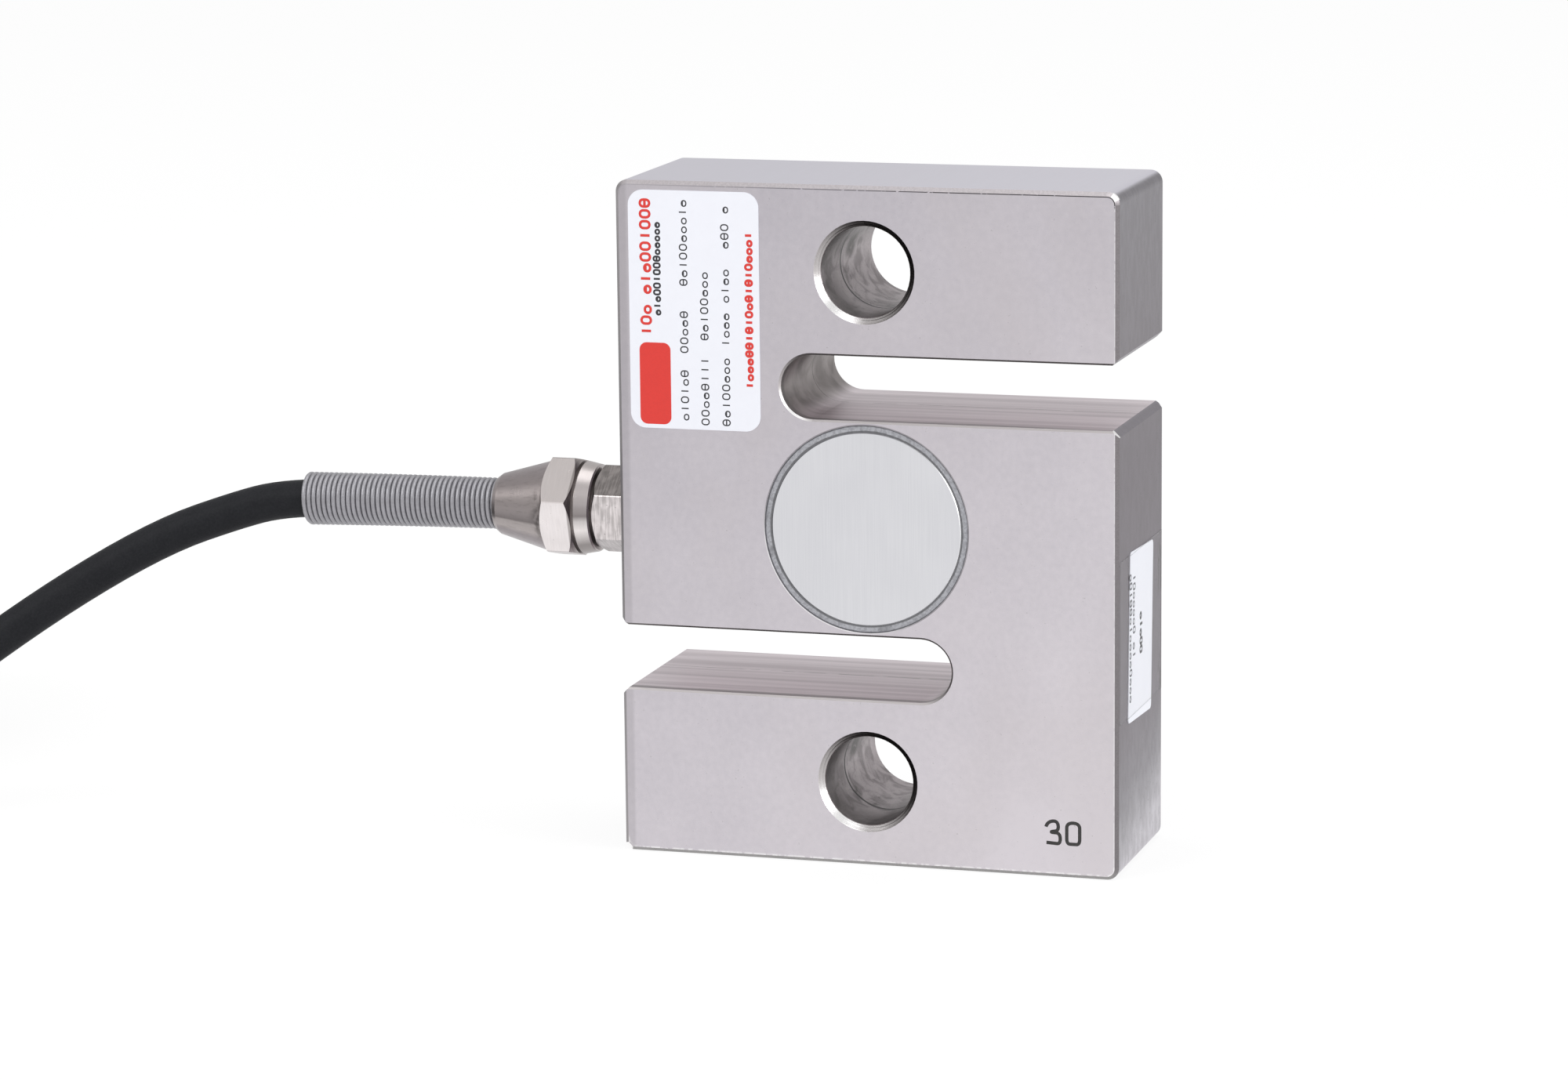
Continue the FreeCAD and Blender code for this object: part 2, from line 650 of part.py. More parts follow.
def cable_run():
    """The free cable, cut off square where it meets the stretch inside the spring."""
    exit_point = vector(*EXIT)
    direction = (vector(*CORD_RUNS[0]) - exit_point).normalize()
    inside = exit_point - direction * CORD_RADIUS
    run = tube([tuple(inside)] + CORD_RUNS, CORD_RADIUS, "cable_run")
    corner = vector(EXIT[0], -CORD_DIAMETER, GLAND_HEIGHT - CORD_DIAMETER)
    return run.cut(Part.makeBox(CORD_DIAMETER, 2 * CORD_DIAMETER, 2 * CORD_DIAMETER, corner))


def ring_section(inner, outer, bottom, top, edge):
    """The section of a ring about the coil's axis, with its corners broken."""
    corners = [
        vector(inner + edge, 0, bottom),
        vector(outer - edge, 0, bottom),
        vector(outer, 0, bottom + edge),
        vector(outer, 0, top - edge),
        vector(outer - edge, 0, top),
        vector(inner + edge, 0, top),
        vector(inner, 0, top - edge),
        vector(inner, 0, bottom + edge),
    ]
    return Part.Face(Part.makePolygon(corners + corners[:1]))


def coil_spot(radius, angle, height):
    """A point at one radius and angle (degrees) from the coil's axis."""
    turn = math.radians(angle)
    x = COIL_CENTRE_X + radius * math.cos(turn)
    y = COIL_CENTRE_Y + radius * math.sin(turn)
    return vector(x, y, height)


def swept_ring(section, start, sweep):
    """A section in the XZ plane at x = radius, swept about the coil's axis by some degrees."""
    solid = section.revolve(vector(0, 0, 0), Z_AXIS, sweep)
    solid.rotate(vector(0, 0, 0), Z_AXIS, start)
    return solid.translated(vector(COIL_CENTRE_X, COIL_CENTRE_Y, 0))


def cable_coil():
    """The outer shape of the wound coil, with the cord's straight stub that leads into it."""
    edge = CORD_RADIUS * 0.5
    main = ring_section(COIL_INNER_RADIUS, COIL_OUTER_RADIUS, TIE_THICKNESS, COIL_TOP, edge)
    coil = swept_ring(main, 0, 360)
    last_turn = ring_section(
        COIL_OUTER_RADIUS - CORD_DIAMETER,
        COIL_OUTER_RADIUS,
        COIL_TOP - edge,
        COIL_TOP + CORD_DIAMETER,
        edge,
    )
    coil = coil.fuse(swept_ring(last_turn, TOP_ARC_END, TOP_ARC_SWEEP))
    start = vector(*CORD_RUNS[-1])
    stub = cylinder(CORD_RADIUS, ENTRY_STUB, start, X_AXIS * -1)
    return coil.fuse(stub).removeSplitter()


def coil_tie(angle):
    """A cable tie pulled round the coil, with its square head on the outside."""
    gap = TIE_CLEARANCE
    thick = TIE_THICKNESS
    top = COIL_TOP + CORD_DIAMETER + gap
    inner = COIL_INNER_RADIUS - gap
    outer = COIL_OUTER_RADIUS + gap
    shoulder = COIL_OUTER_RADIUS - CORD_DIAMETER - gap
    bottom = TIE_THICKNESS
    mitre = TIE_MITRE_SHARE * thick
    loop = [(inner, bottom), (outer, bottom), (outer, top), (shoulder, top), (inner, COIL_TOP)]
    around = [
        (inner - thick, bottom - thick),
        (outer + thick, bottom - thick),
        (outer + thick, top + thick),
        (shoulder - mitre, top + thick),
        (inner - thick, COIL_TOP + mitre),
    ]
    half = TIE_WIDTH / 2
    sections = []
    for outline, wide in ((around, half), (loop, half + 1)):
        points = [vector(r, -wide, z) for r, z in outline]
        sections.append(polygon_prism(points, Y_AXIS * (2 * wide)))
    tie = sections[0].cut(sections[1])
    deep, wide, tall = TIE_HEAD
    head = Part.makeBox(
        deep - thick, wide, tall, vector(outer + thick, -wide / 2, (bottom + top) / 2 - tall / 2)
    )
    head = head.makeFillet(TIE_HEAD_ROUNDING, upright_edges(head, X_AXIS))
    tie = tie.fuse(head)
    tie.rotate(vector(0, 0, 0), Z_AXIS, angle)
    return tie.translated(vector(COIL_CENTRE_X, COIL_CENTRE_Y, 0))


def end_direction():
    """The cord's direction where it ends, clockwise round the coil."""
    turn = math.radians(TOP_ARC_END)
    return vector(math.sin(turn), -math.cos(turn), 0)


def cable_end_sleeve():
    """The heat-shrink sleeve past the end of the jacket, lying on the coil."""
    start = coil_spot(TOP_TURN_RADIUS, TOP_ARC_END, COIL_TOP + CORD_RADIUS)
    return cone(SLEEVE_RADIUS, SLEEVE_END_RADIUS, SLEEVE_LENGTH, start, end_direction())


def lead_points(index):
    """A lead's route: out of the sleeve, then round on top of the coil towards its inner edge."""
    across, above = LEAD_MOUTHS[index]
    beside = (index - 2) * LEAD_PITCH
    direction = end_direction()
    turn = math.radians(TOP_ARC_END)
    outward = vector(math.cos(turn), math.sin(turn), 0)
    mouth = coil_spot(TOP_TURN_RADIUS, TOP_ARC_END, COIL_TOP + CORD_RADIUS + above)
    mouth = mouth + direction * SLEEVE_LENGTH + outward * across
    points = [tuple(mouth), tuple(mouth + direction * LEAD_DIAMETER)]
    lying = COIL_TOP + LEAD_DIAMETER / 2 + LEAD_CLEARANCE
    first = TOP_ARC_END - math.degrees(SLEEVE_LENGTH / TOP_TURN_RADIUS)
    row_height = above - LEAD_MOUTHS[0][1]
    for step, (drift, spread) in enumerate(zip(LEAD_DRIFT, LEAD_SPREAD), start=1):
        offset = drift + across + (beside - across) * spread
        height = lying + row_height * (1 - spread**2)
        spot = coil_spot(TOP_TURN_RADIUS + offset, first - step * LEAD_STEP, height)
        points.append(tuple(spot))
    return points


def lead(index, name):
    """An insulated lead with its tinned end, or the bare drain wire."""
    points = lead_points(index)
    insulated = tube(points, LEAD_DIAMETER / 2, name)
    end = vector(*points[-1])
    direction = end - vector(*points[-2])
    tip = cylinder(TINNED_DIAMETER / 2, TINNED_LENGTH, end, direction)
    return insulated.fuse(tip)


# --- Labels ---


def front_label():
    label = rounded_plate(
        FRONT_LABEL_WIDTH, FRONT_LABEL_HEIGHT, LABEL_THICKNESS, FRONT_LABEL_RADIUS
    )
    return label.translated(
        vector(
            LEFT_FACE + FRONT_LABEL_LEFT + FRONT_LABEL_WIDTH / 2,
            FRONT_FACE,
            BODY_HEIGHT - FRONT_LABEL_TOP - FRONT_LABEL_HEIGHT / 2,
        )
    )


def side_label():
    label = rounded_plate(SIDE_LABEL_WIDTH, SIDE_LABEL_HEIGHT, LABEL_THICKNESS, SIDE_LABEL_RADIUS)
    label.rotate(vector(0, 0, 0), Y_AXIS, SIDE_LABEL_LEAN)
    label.rotate(vector(0, 0, 0), Z_AXIS, 90)
    return label.translated(vector(BODY_WIDTH / 2, SIDE_LABEL_SHIFT, SIDE_LABEL_HEIGHT_ABOVE_BASE))


def side_film():
    """A clear film over the side label. The label's lower end stands out below it."""
    width = BODY_THICKNESS - 2 * FILM_MARGIN
    corner = vector(BODY_WIDTH / 2, -width / 2, FILM_MIDDLE - FILM_HEIGHT / 2)
    film = Part.makeBox(FILM_THICKNESS, width, FILM_HEIGHT, corner)
    return film.cut(side_label())


def main():
    os.makedirs("parts", exist_ok=True)
    parts = {
        "sensor_body": sensor_body(),
        "front_cover": cover(-1),
        "rear_cover": cover(1),
        "front_sealant": sealant(-1),
        "rear_sealant": sealant(1),
        "terminal_board": terminal_board(),
        "trim_resistor": trim_resistor(),
        "gland_washer": gland_washer(),
        "gland_body": gland_body(),
        "gland_nut": gland_nut(),
        "gland_seal": gland_seal(),
        "thrust_washer": thrust_washer(),
        "strain_relief_spring": strain_relief_spring(),
        "cable_entry": cable_entry(),
        "cable_run": cable_run(),
        "cable_coil": cable_coil(),
        "cable_end_sleeve": cable_end_sleeve(),
        "front_label": front_label(),
        "side_label": side_label(),
        "side_film": side_film(),
    }
    for face, face_name in ((-1, "front"), (1, "rear")):
        for across, side_name in ((-1, "left"), (1, "right")):
            parts[f"{face_name}_gauge_{side_name}"] = placed_gauge(face, across)
    for index in range(4):
        parts[f"inner_core_{index + 1}"] = inner_core(index)
    for index, name in enumerate(("lead_red", "lead_black", "drain_wire", "lead_green", "lead_white")):
        parts[name] = lead(index, name)
    for number, angle in enumerate(TIE_ANGLES, start=1):
        parts[f"coil_tie_{number}"] = coil_tie(angle)
    for name, shape in parts.items():
        if shape.ShapeType != "Solid" and len(shape.Solids) == 1:
            shape = shape.Solids[0]
        print(f"{name}: {len(shape.Solids)} solid, valid {shape.isValid()}, volume {shape.Volume:.1f}")
        shape.exportStep(f"parts/{name}.step")


main()
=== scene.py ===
"""The looks of an S-type load cell: a slotted steel block, its cable gland and its cord.

Everything is in metres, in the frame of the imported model: +Z is up, +X to the right, and the
front face looks along -Y. Sizes that a drawing would give are written in millimetres and
turned into metres by MM.
"""

import logging
import math
from dataclasses import dataclass
from enum import Enum
from typing import Any, Iterable, Sequence

import bmesh
import bpy
from mathutils import Matrix, Vector


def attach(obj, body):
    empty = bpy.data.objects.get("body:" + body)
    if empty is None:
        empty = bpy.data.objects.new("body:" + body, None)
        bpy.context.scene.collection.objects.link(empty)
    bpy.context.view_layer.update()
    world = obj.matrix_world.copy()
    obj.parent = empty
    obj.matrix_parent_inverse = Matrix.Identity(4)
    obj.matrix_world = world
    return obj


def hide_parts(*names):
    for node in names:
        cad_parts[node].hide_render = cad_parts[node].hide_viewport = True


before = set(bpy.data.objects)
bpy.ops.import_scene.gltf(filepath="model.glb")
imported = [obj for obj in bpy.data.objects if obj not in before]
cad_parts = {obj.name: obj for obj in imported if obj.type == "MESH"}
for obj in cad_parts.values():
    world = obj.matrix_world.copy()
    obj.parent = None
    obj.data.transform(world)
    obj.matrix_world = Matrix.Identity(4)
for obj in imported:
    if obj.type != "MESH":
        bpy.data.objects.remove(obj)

LOG = logging.getLogger("load_cell")
BODY = "root"
MM = 0.001
CORD_DIAMETER = 5.9 * MM

Pair = tuple[float, float]
Triple = tuple[float, float, float]
Colour = Triple


# --- Node trees ---


class Signal:
    """A socket of a node tree, on which arithmetic adds Math nodes."""

    def __init__(self, tree: "Tree", socket: bpy.types.NodeSocket) -> None:
        """Wraps a socket.

        Args:
            tree: the tree that the socket belongs to.
            socket: the output socket.
        """
        self.tree = tree
        self.socket = socket

    def _math(self, operation: str, *operands: Any) -> "Signal":
        """Adds a Math node.

        Args:
            operation: the node's operation.
            operands: signals or numbers, in the node's order.

        Returns:
            The node's output.
        """
        return self.tree.node(
            "ShaderNodeMath", {"operation": operation}, dict(enumerate(operands))
        )

    def __add__(self, other: Any) -> "Signal":
        """self + other."""
        return self._math("ADD", self, other)

    def __radd__(self, other: Any) -> "Signal":
        """other + self."""
        return self._math("ADD", other, self)

    def __sub__(self, other: Any) -> "Signal":
        """self - other."""
        return self._math("SUBTRACT", self, other)

    def __rsub__(self, other: Any) -> "Signal":
        """other - self."""
        return self._math("SUBTRACT", other, self)

    def __mul__(self, other: Any) -> "Signal":
        """self * other."""
        return self._math("MULTIPLY", self, other)

    def __rmul__(self, other: Any) -> "Signal":
        """other * self."""
        return self._math("MULTIPLY", other, self)

    def __truediv__(self, other: Any) -> "Signal":
        """self / other."""
        return self._math("DIVIDE", self, other)

    def __pow__(self, other: Any) -> "Signal":
        """self ** other."""
        return self._math("POWER", self, other)

    def __abs__(self) -> "Signal":
        """The size of self."""
        return self._math("ABSOLUTE", self)

    def greatest(self, other: Any) -> "Signal":
        """The greater of self and other."""
        return self._math("MAXIMUM", self, other)

    def least(self, other: Any) -> "Signal":
        """The lesser of self and other."""
        return self._math("MINIMUM", self, other)

    def cosine(self) -> "Signal":
        """The cosine of self, in radians."""
        return self._math("COSINE", self)

    def sine(self) -> "Signal":
        """The sine of self, in radians."""
        return self._math("SINE", self)

    def rise(self, low: float, high: float) -> "Signal":
        """A smooth step of self.

        Args:
            low: where the step starts, at 0.
            high: where it ends, at 1. It may be less than low, and then the step falls.

        Returns:
            The step.
        """
        return self.tree.node(
            "ShaderNodeMapRange",
            {"interpolation_type": "SMOOTHSTEP"},
            {"Value": self, "From Min": low, "From Max": high},
        )

    def band(self, centre: float, half: float, soft: float) -> "Signal":
        """1 where self is near a value, and 0 elsewhere.

        Args:
            centre: the middle of the band.
            half: half its width.
            soft: how wide its two edges are.

        Returns:
            The band.
        """
        return abs(self - centre).rise(half + soft / 2, half - soft / 2)


class Tree:
    """A node tree whose nodes all come from one method."""

    def __init__(self, tree: bpy.types.NodeTree) -> None:
        """Empties a node tree.

        Args:
            tree: the tree to build in.
        """
        self.tree = tree
        tree.nodes.clear()

    def node(
        self,
        kind: str,
        settings: dict[str, Any] | None = None,
        sockets: dict[Any, Any] | None = None,
        output: Any = 0,
    ) -> Signal:
        """Adds a node.

        Args:
            kind: the node's type.
            settings: its properties, set first. "stops" are a ramp's (place, colour) pairs.
            sockets: values, signals or lists of signals for its inputs, by name or number.
            output: the name or number of the output to use.

        Returns:
            That output.
        """
        made = self.tree.nodes.new(kind)
        for name, value in (settings or {}).items():
            if name == "stops":
                self._fill_ramp(made.color_ramp, value)
            else:
                setattr(made, name, value)
        for key, value in (sockets or {}).items():
            self.feed(made.inputs[key], value)
        return Signal(self, made.outputs[output]) if len(made.outputs) else Signal(self, None)

    def vectors(self, operation: str, sockets: dict[Any, Any], output: str = "Vector") -> Signal:
        """Adds a Vector Math node.

        Args:
            operation: the node's operation.
            sockets: its inputs' values, by name or number.
            output: the name of the output to use.

        Returns:
            That output.
        """
        return self.node("ShaderNodeVectorMath", {"operation": operation}, sockets, output)

    def feed(self, socket: bpy.types.NodeSocket, value: Any) -> None:
        """Links or sets one input.

        Args:
            socket: the input.
            value: a signal, a list of signals, or a value.
        """
        for signal in value if isinstance(value, list) else [value]:
            if isinstance(signal, Signal):
                self.tree.links.new(signal.socket, socket)
            elif socket.type == "RGBA" and len(signal) == 3:
                socket.default_value = (*signal, 1.0)
            else:
                socket.default_value = signal

    @staticmethod
    def _fill_ramp(ramp: bpy.types.ColorRamp, stops: Sequence[tuple]) -> None:
        """Gives a colour ramp its stops.

        Args:
            ramp: the ramp.
            stops: (place, colour) pairs, from low to high.
        """
        while len(ramp.elements) < len(stops):
            ramp.elements.new(1.0)
        for element, (place, colour) in zip(ramp.elements, stops):
            element.position = place
            element.color = (*colour, 1.0)


class Surface(Tree):
    """A material's tree. Its coordinates are the object's own, in millimetres."""

    def __init__(self, name: str) -> None:
        """Starts a material.

        Args:
            name: the material's name.
        """
        self.material = bpy.data.materials.new(name)
        self.material.use_nodes = True
        super().__init__(self.material.node_tree)
        metres = self.node("ShaderNodeTexCoord", output="Object")
        self.point = self.vectors("SCALE", {0: metres, "Scale": 1 / MM})
        self.x, self.y, self.z = self.parts(self.point)

    def parts(self, vector: Signal) -> tuple[Signal, Signal, Signal]:
        """The three parts of a vector."""
        split = self.node("ShaderNodeSeparateXYZ", sockets={0: vector}).socket.node
        return tuple(Signal(self, socket) for socket in split.outputs)

    def normal(self) -> tuple[Signal, Signal, Signal]:
        """The three parts of the surface's normal."""
        return self.parts(self.node("ShaderNodeNewGeometry", output="Normal"))

    def ramp(self, place: Signal, *stops: tuple[float, Colour]) -> Signal:
        """A colour read off a ramp of (place, colour) stops, from low to high."""
        return self.node("ShaderNodeValToRGB", {"stops": stops}, {0: place})

    def placed(
        self, stretch: Triple = (1.0, 1.0, 1.0), centre: Triple = (0.0, 0.0, 0.0)
    ) -> Signal:
        """The coordinates moved to a centre, then scaled.

        Args:
            stretch: the scale along each axis; a small one draws a pattern out along it.
            centre: what becomes the origin, in millimetres.

        Returns:
            The new coordinates.
        """
        moved = self.vectors("SUBTRACT", {0: self.point, 1: centre})
        return self.vectors("MULTIPLY", {0: moved, 1: stretch})

    def distance(self, centre: Triple, stretch: Triple) -> Signal:
        """The distance from a centre, with an axis left out where its stretch is 0."""
        return self.vectors("LENGTH", {0: self.placed(stretch, centre)}, "Value")

    def noise(
        self,
        scale: float,
        detail: float = 2.0,
        stretch: Triple = (1.0, 1.0, 1.0),
        distortion: float = 0.0,
    ) -> Signal:
        """Noise from 0 to 1.

        Args:
            scale: how many grains there are to a millimetre.
            detail: how many finer layers it has.
            stretch: the coordinates' scale along each axis.
            distortion: how far it is swirled.

        Returns:
            The noise.
        """
        sockets = {
            "Vector": self.placed(stretch),
            "Scale": scale,
            "Detail": detail,
            "Distortion": distortion,
        }
        return self.node("ShaderNodeTexNoise", sockets=sockets)

    def mix(self, mask: Any, first: Any, second: Any) -> Signal:
        """A colour that goes from the first to the second as the mask goes from 0 to 1."""
        settings = {"data_type": "RGBA", "clamp_factor": True}
        made = self.node("ShaderNodeMix", settings).socket.node
        for index, value in ((0, mask), (6, first), (7, second)):
            self.feed(made.inputs[index], value)
        return Signal(self, made.outputs[2])

    def bump(self, height: Signal) -> Signal:
        """A normal that is tilted by a height in millimetres."""
        return self.node(
            "ShaderNodeBump", sockets={"Height": height, "Strength": 1.0, "Distance": MM}
        )

    def finish(self, **sockets: Any) -> bpy.types.Material:
        """Ends the material in a Principled shader.

        Args:
            sockets: the shader's inputs, with _ for a space in their names.

        Returns:
            The material.
        """
        named = {name.replace("_", " "): value for name, value in sockets.items()}
        shader = self.node("ShaderNodeBsdfPrincipled", sockets=named)
        self.node("ShaderNodeOutputMaterial", sockets={"Surface": shader})
        return self.material


class Growth(Tree):
    """A geometry tree that makes its geometry from its named inputs alone."""

    def __init__(self, name: str, **inputs: str) -> None:
        """Starts the tree.

        Args:
            name: its name.
            inputs: the kind of each input, by the input's name.
        """
        self.group = bpy.data.node_groups.new(name, "GeometryNodeTree")
        sockets = self.group.interface
        for label, kind in (inputs | {"Material": "Material"}).items():
            sockets.new_socket(label, in_out="INPUT", socket_type=f"NodeSocket{kind}")
        sockets.new_socket("Geometry", in_out="OUTPUT", socket_type="NodeSocketGeometry")
        super().__init__(self.group)
        entry = self.node("NodeGroupInput").socket.node
        self.given = {socket.name: Signal(self, socket) for socket in entry.outputs if socket.name}

    def vector(self, **parts: Signal) -> Signal:
        """A vector from its parts X, Y and Z, of which the missing ones are 0."""
        return self.node("ShaderNodeCombineXYZ", sockets=parts)

    def along(self, curve: Signal, section: Signal) -> Signal:
        """A closed tube of a section along a curve."""
        sockets = {"Curve": curve, "Profile Curve": section, "Fill Caps": True}
        return self.node("GeometryNodeCurveToMesh", sockets=sockets)

    def circle(self, diameter: Signal, resolution: int) -> Signal:
        """A circle to sweep along a curve."""
        sockets = {"Resolution": resolution, "Radius": diameter * 0.5}
        return self.node("GeometryNodeCurvePrimitiveCircle", sockets=sockets)

    def close(self, geometry: Signal) -> bpy.types.NodeTree:
        """Makes the geometry real, gives it its material, and ends the tree.

        Args:
            geometry: the geometry.

        Returns:
            The finished tree.
        """
        real = self.node("GeometryNodeRealizeInstances", sockets={"Geometry": geometry})
        sockets = {"Geometry": real, "Material": self.given["Material"]}
        dressed = self.node("GeometryNodeSetMaterial", sockets=sockets)
        self.node("NodeGroupOutput", sockets={"Geometry": dressed})
        return self.group


# --- Finishes ---


@dataclass(frozen=True)
class Finish:
    """A finish that needs a colour, a roughness and a light grain.

    Fields:
        name: the material's name.
        colour: its colour.
        shade: its colour in the grain's low spots.
        roughness: how rough it is.
        metallic: 1 for bare metal.
        grain: grains to a millimetre.
        relief: the grain's height in millimetres.
        drawn: how the grain is stretched along each axis.
        slot: the record's material slot that it belongs to. It is not used.
        gloss: how strong its reflections are, 0.5 for plain plastic or paint.
    """

    name: str
    colour: Colour
    shade: Colour
    roughness: float
    metallic: float = 0.0
    grain: float = 2.0
    relief: float = 0.004
    drawn: Triple = (1.0, 1.0, 1.0)
    slot: str = ""
    gloss: float = 0.5

    def material(self) -> bpy.types.Material:
        """Builds the material, once."""
        made = bpy.data.materials.get(self.name)
        return made or self.build(Surface(self.name))

    def build(self, surface: Surface) -> bpy.types.Material:
        """Fills the material's tree.

        Args:
            surface: the tree.

        Returns:
            The finished material.
        """
        grain = surface.noise(self.grain, 4.0, self.drawn)
        broad = surface.noise(self.grain * 0.13, 2.0)
        mask = (grain * 0.7 + broad * 0.3).rise(0.35, 0.65)
        return surface.finish(
            Base_Color=surface.mix(mask, self.shade, self.colour),
            Metallic=self.metallic,
            Roughness=self.roughness + (grain - 0.5) * 0.12,
            Specular_IOR_Level=self.gloss,
            Normal=surface.bump(grain * self.relief),
        )


@dataclass(frozen=True)
class GroundSteel(Finish):
    """The block's satin steel, with its bores, slots, chamfers and faces each as they are cut, and
    with light and shade painted into their colours.

    Fields:
        half: half the block's width and thickness, in millimetres.
        height: the block's height.
        corner: the radius of the outline's corners.
        chamfer: the chamfer round the two faces.
        bores: the heights of the two bores.
        bore: a bore's radius.
        slots: the heights of the two slots.
        slot_half: half a slot's width.
        well: the radius of the gauge well.
        face_light_slope: a painted shade across the faces: how far it is from a face's dark corner
            to its light one, and where it starts.
        dirt_and_shade: the colour of oil and pits, and of the painted shade in the bores.
        black: the colour of the lines where two cuts meet in a bore.
        scored: the colour of the line along the faces' top edge.
        warm: the colour of the faces' broad warm patches.
        mottle: the colour of the sides' blotches.
        top: the colour of the ends.
        walls: the colours of a slot's walls, in their streaks and between them.
        round_ends: the colours of a slot's round ends, dry and oily.
        bore_walls: the colours of a bore's wall, dry and oily.
        bore_mouth: the colour of its wall near the front.
        filed_shading: the colours of the faces' broken edges, from below to above, painted light
            and shade by where they face.
        filed_left_shade: their painted shade where they look to the left.
        well_edge_shade: the colour of the gauge well's edge where it is dark, a painted shade.
        glint: the colour of an edge that catches the light.
    """

    half: Pair = (38.1, 14.3)
    height: float = 101.6
    corner: float = 1.8
    chamfer: float = 0.55
    bores: Pair = (12.7, 88.9)
    bore: float = 6.75
    slots: Pair = (29.9, 71.7)
    slot_half: float = 4.8
    well: float = 15.55
    face_light_slope: Pair = (172.0, 0.81)
    dirt_and_shade: Colour = (0.06, 0.053, 0.05)
    black: Colour = (0.012, 0.01, 0.01)
    scored: Colour = (0.02, 0.017, 0.017)
    warm: Colour = (0.58, 0.535, 0.545)
    mottle: Colour = (0.1, 0.086, 0.094)
    top: Colour = (0.674, 0.657, 0.724)
    walls: tuple[Colour, Colour] = ((0.58, 0.52, 0.545), (0.79, 0.72, 0.75))
    round_ends: tuple[Colour, Colour] = ((0.3, 0.27, 0.265), (0.16, 0.14, 0.135))
    bore_walls: tuple[Colour, Colour] = ((0.42, 0.375, 0.388), (0.16, 0.137, 0.142))
    bore_mouth: Colour = (0.085, 0.069, 0.066)
    filed_shading: tuple[Colour, ...] = ((0.34, 0.33, 0.33), (0.205, 0.19, 0.198), (0.46, 0.43, 0.445))
    filed_left_shade: Colour = (0.33, 0.315, 0.325)
    well_edge_shade: Colour = (0.12, 0.115, 0.12)
    glint: Colour = (0.98, 0.97, 0.97)

    def build(self, surface: Surface) -> bpy.types.Material:
        """Fills the material's tree.

        Args:
            surface: the tree.

        Returns:
            The finished material.
        """
        nx, ny, nz = surface.normal()
        front = abs(ny).rise(0.8, 0.97)
        outer = abs(surface.x).rise(self.half[0] - 2.5, self.half[0] - 0.6)
        fine = surface.noise(9.0, 3.0)
        cloud = surface.noise(0.06, 3.0)
        lay = surface.noise(1.6, 4.0, (1.0, 0.05, 1.0))
        teeth = surface.noise(4.5, 2.0, (1.0, 0.1, 1.0))
        streaks = surface.noise(0.5, 3.0, (0.03, 1.0, 0.3))
        turned = surface.noise(5.0, 2.0, (0.0, 1.0, 0.0))
        pits = surface.noise(6.5, 2.0).rise(0.58, 0.68)
        lit = (nx + nz) * 0.5 + nx.greatest(0.0) * nz.greatest(0.0) * 1.5

        beside = outer * abs(nx).rise(0.4, 0.8)
        cut = surface.mix(beside, self.end_colour(surface, lay), self.shaded_side_colour(surface, cloud))
        slot = surface.z.band(self.slots[0], self.slot_half + 0.45, 0.1)
        slot = slot.greatest(surface.z.band(self.slots[1], self.slot_half + 0.45, 0.1))
        slot = slot * (1.0 - front) * (1.0 - outer * abs(nx).rise(0.35, 0.6))
        cut = surface.mix(slot, cut, self.slot_colour(surface, streaks, nx))

        low = surface.distance((0.0, 0.0, self.bores[0]), (1.0, 0.0, 1.0))
        high = surface.distance((0.0, 0.0, self.bores[1]), (1.0, 0.0, 1.0))
        away = low.least(high)
        wall = away.rise(self.bore + 0.12, self.bore + 0.04)
        mouth = away.rise(self.bore + 1.05, self.bore + 0.9) * (1.0 - front)
        broken = abs(ny).rise(0.3, 0.5) * (1.0 - front)
        edge = surface.mix(
            teeth.rise(0.3, 0.7),
            self.edge_colour(surface, nx, nz, 0.93),
            self.edge_colour(surface, nx, nz, 1.06),
        )
        cut = surface.mix(broken, cut, edge)
        place = lit * 0.6 + 0.4 + (turned - 0.5) * 0.3 * mouth
        rims = self.rim_colour(surface, place.greatest(slot * 0.29))
        cut = surface.mix((broken * slot).greatest(mouth), cut, rims)
        cut = surface.mix(wall, cut, self.bore_colour(surface, pits, nx, nz))
        glint = (nx * nz * abs(ny)).rise(0.12, 0.155)
        facet = (nx * nz).rise(0.3, 0.42)
        facet = facet * surface.y.rise(-self.half[1] + 1.2, -self.half[1] + 1.05)
        cut = surface.mix(glint.greatest(facet) * outer, cut, self.glint)

        colour = surface.mix(front, cut, self.face_colour(surface, cloud, fine))
        rough = 0.4 + (fine - 0.5) * 0.1 + wall * 0.12 - mouth * 0.12 + slot * 0.04
        height = (
            fine * 0.003 * front
            + lay * 0.005 * (1.0 - front) * (1.0 - slot) * (1.0 - outer)
            + streaks * 0.004 * slot
            + pits * -0.01 * wall
            + turned * 0.03 * mouth
            + teeth * 0.008 * broken
        )
        return surface.finish(
            Base_Color=colour,
            Metallic=1.0,
            Roughness=rough,
            Normal=surface.bump(height),
        )

    def face_colour(self, surface: Surface, cloud: Signal, fine: Signal) -> Signal:
        """The front and back faces: satin under a painted shade that lightens to the lower right,
        with dirty lines along their edges, and painted highlights at the right edge and on the wear
        at the base.

        Args:
            surface: the tree.
            cloud: broad noise.
            fine: fine noise.

        Returns:
            The colour.
        """
        # Painted shade: each face is darkest at its upper left and lightest at its lower right.
        slope = (surface.x - surface.z) / self.face_light_slope[0] + self.face_light_slope[1]
        mottle = surface.noise(1.1, 4.0)
        lit = slope + (cloud - 0.5) * 0.5 + (mottle - 0.5) * 0.45 + (fine - 0.5) * 0.4
        face = surface.mix(lit, self.shade, self.colour)
        warm = surface.noise(0.045, 3.0, (1.0, 1.0, 0.6), 0.5).rise(0.4, 0.7)
        face = surface.mix(warm * 0.25, face, self.warm)
        specks = surface.noise(2.2, 4.0).rise(0.68, 0.76)
        face = surface.mix(specks * 0.2, face, self.dirt_and_shade)

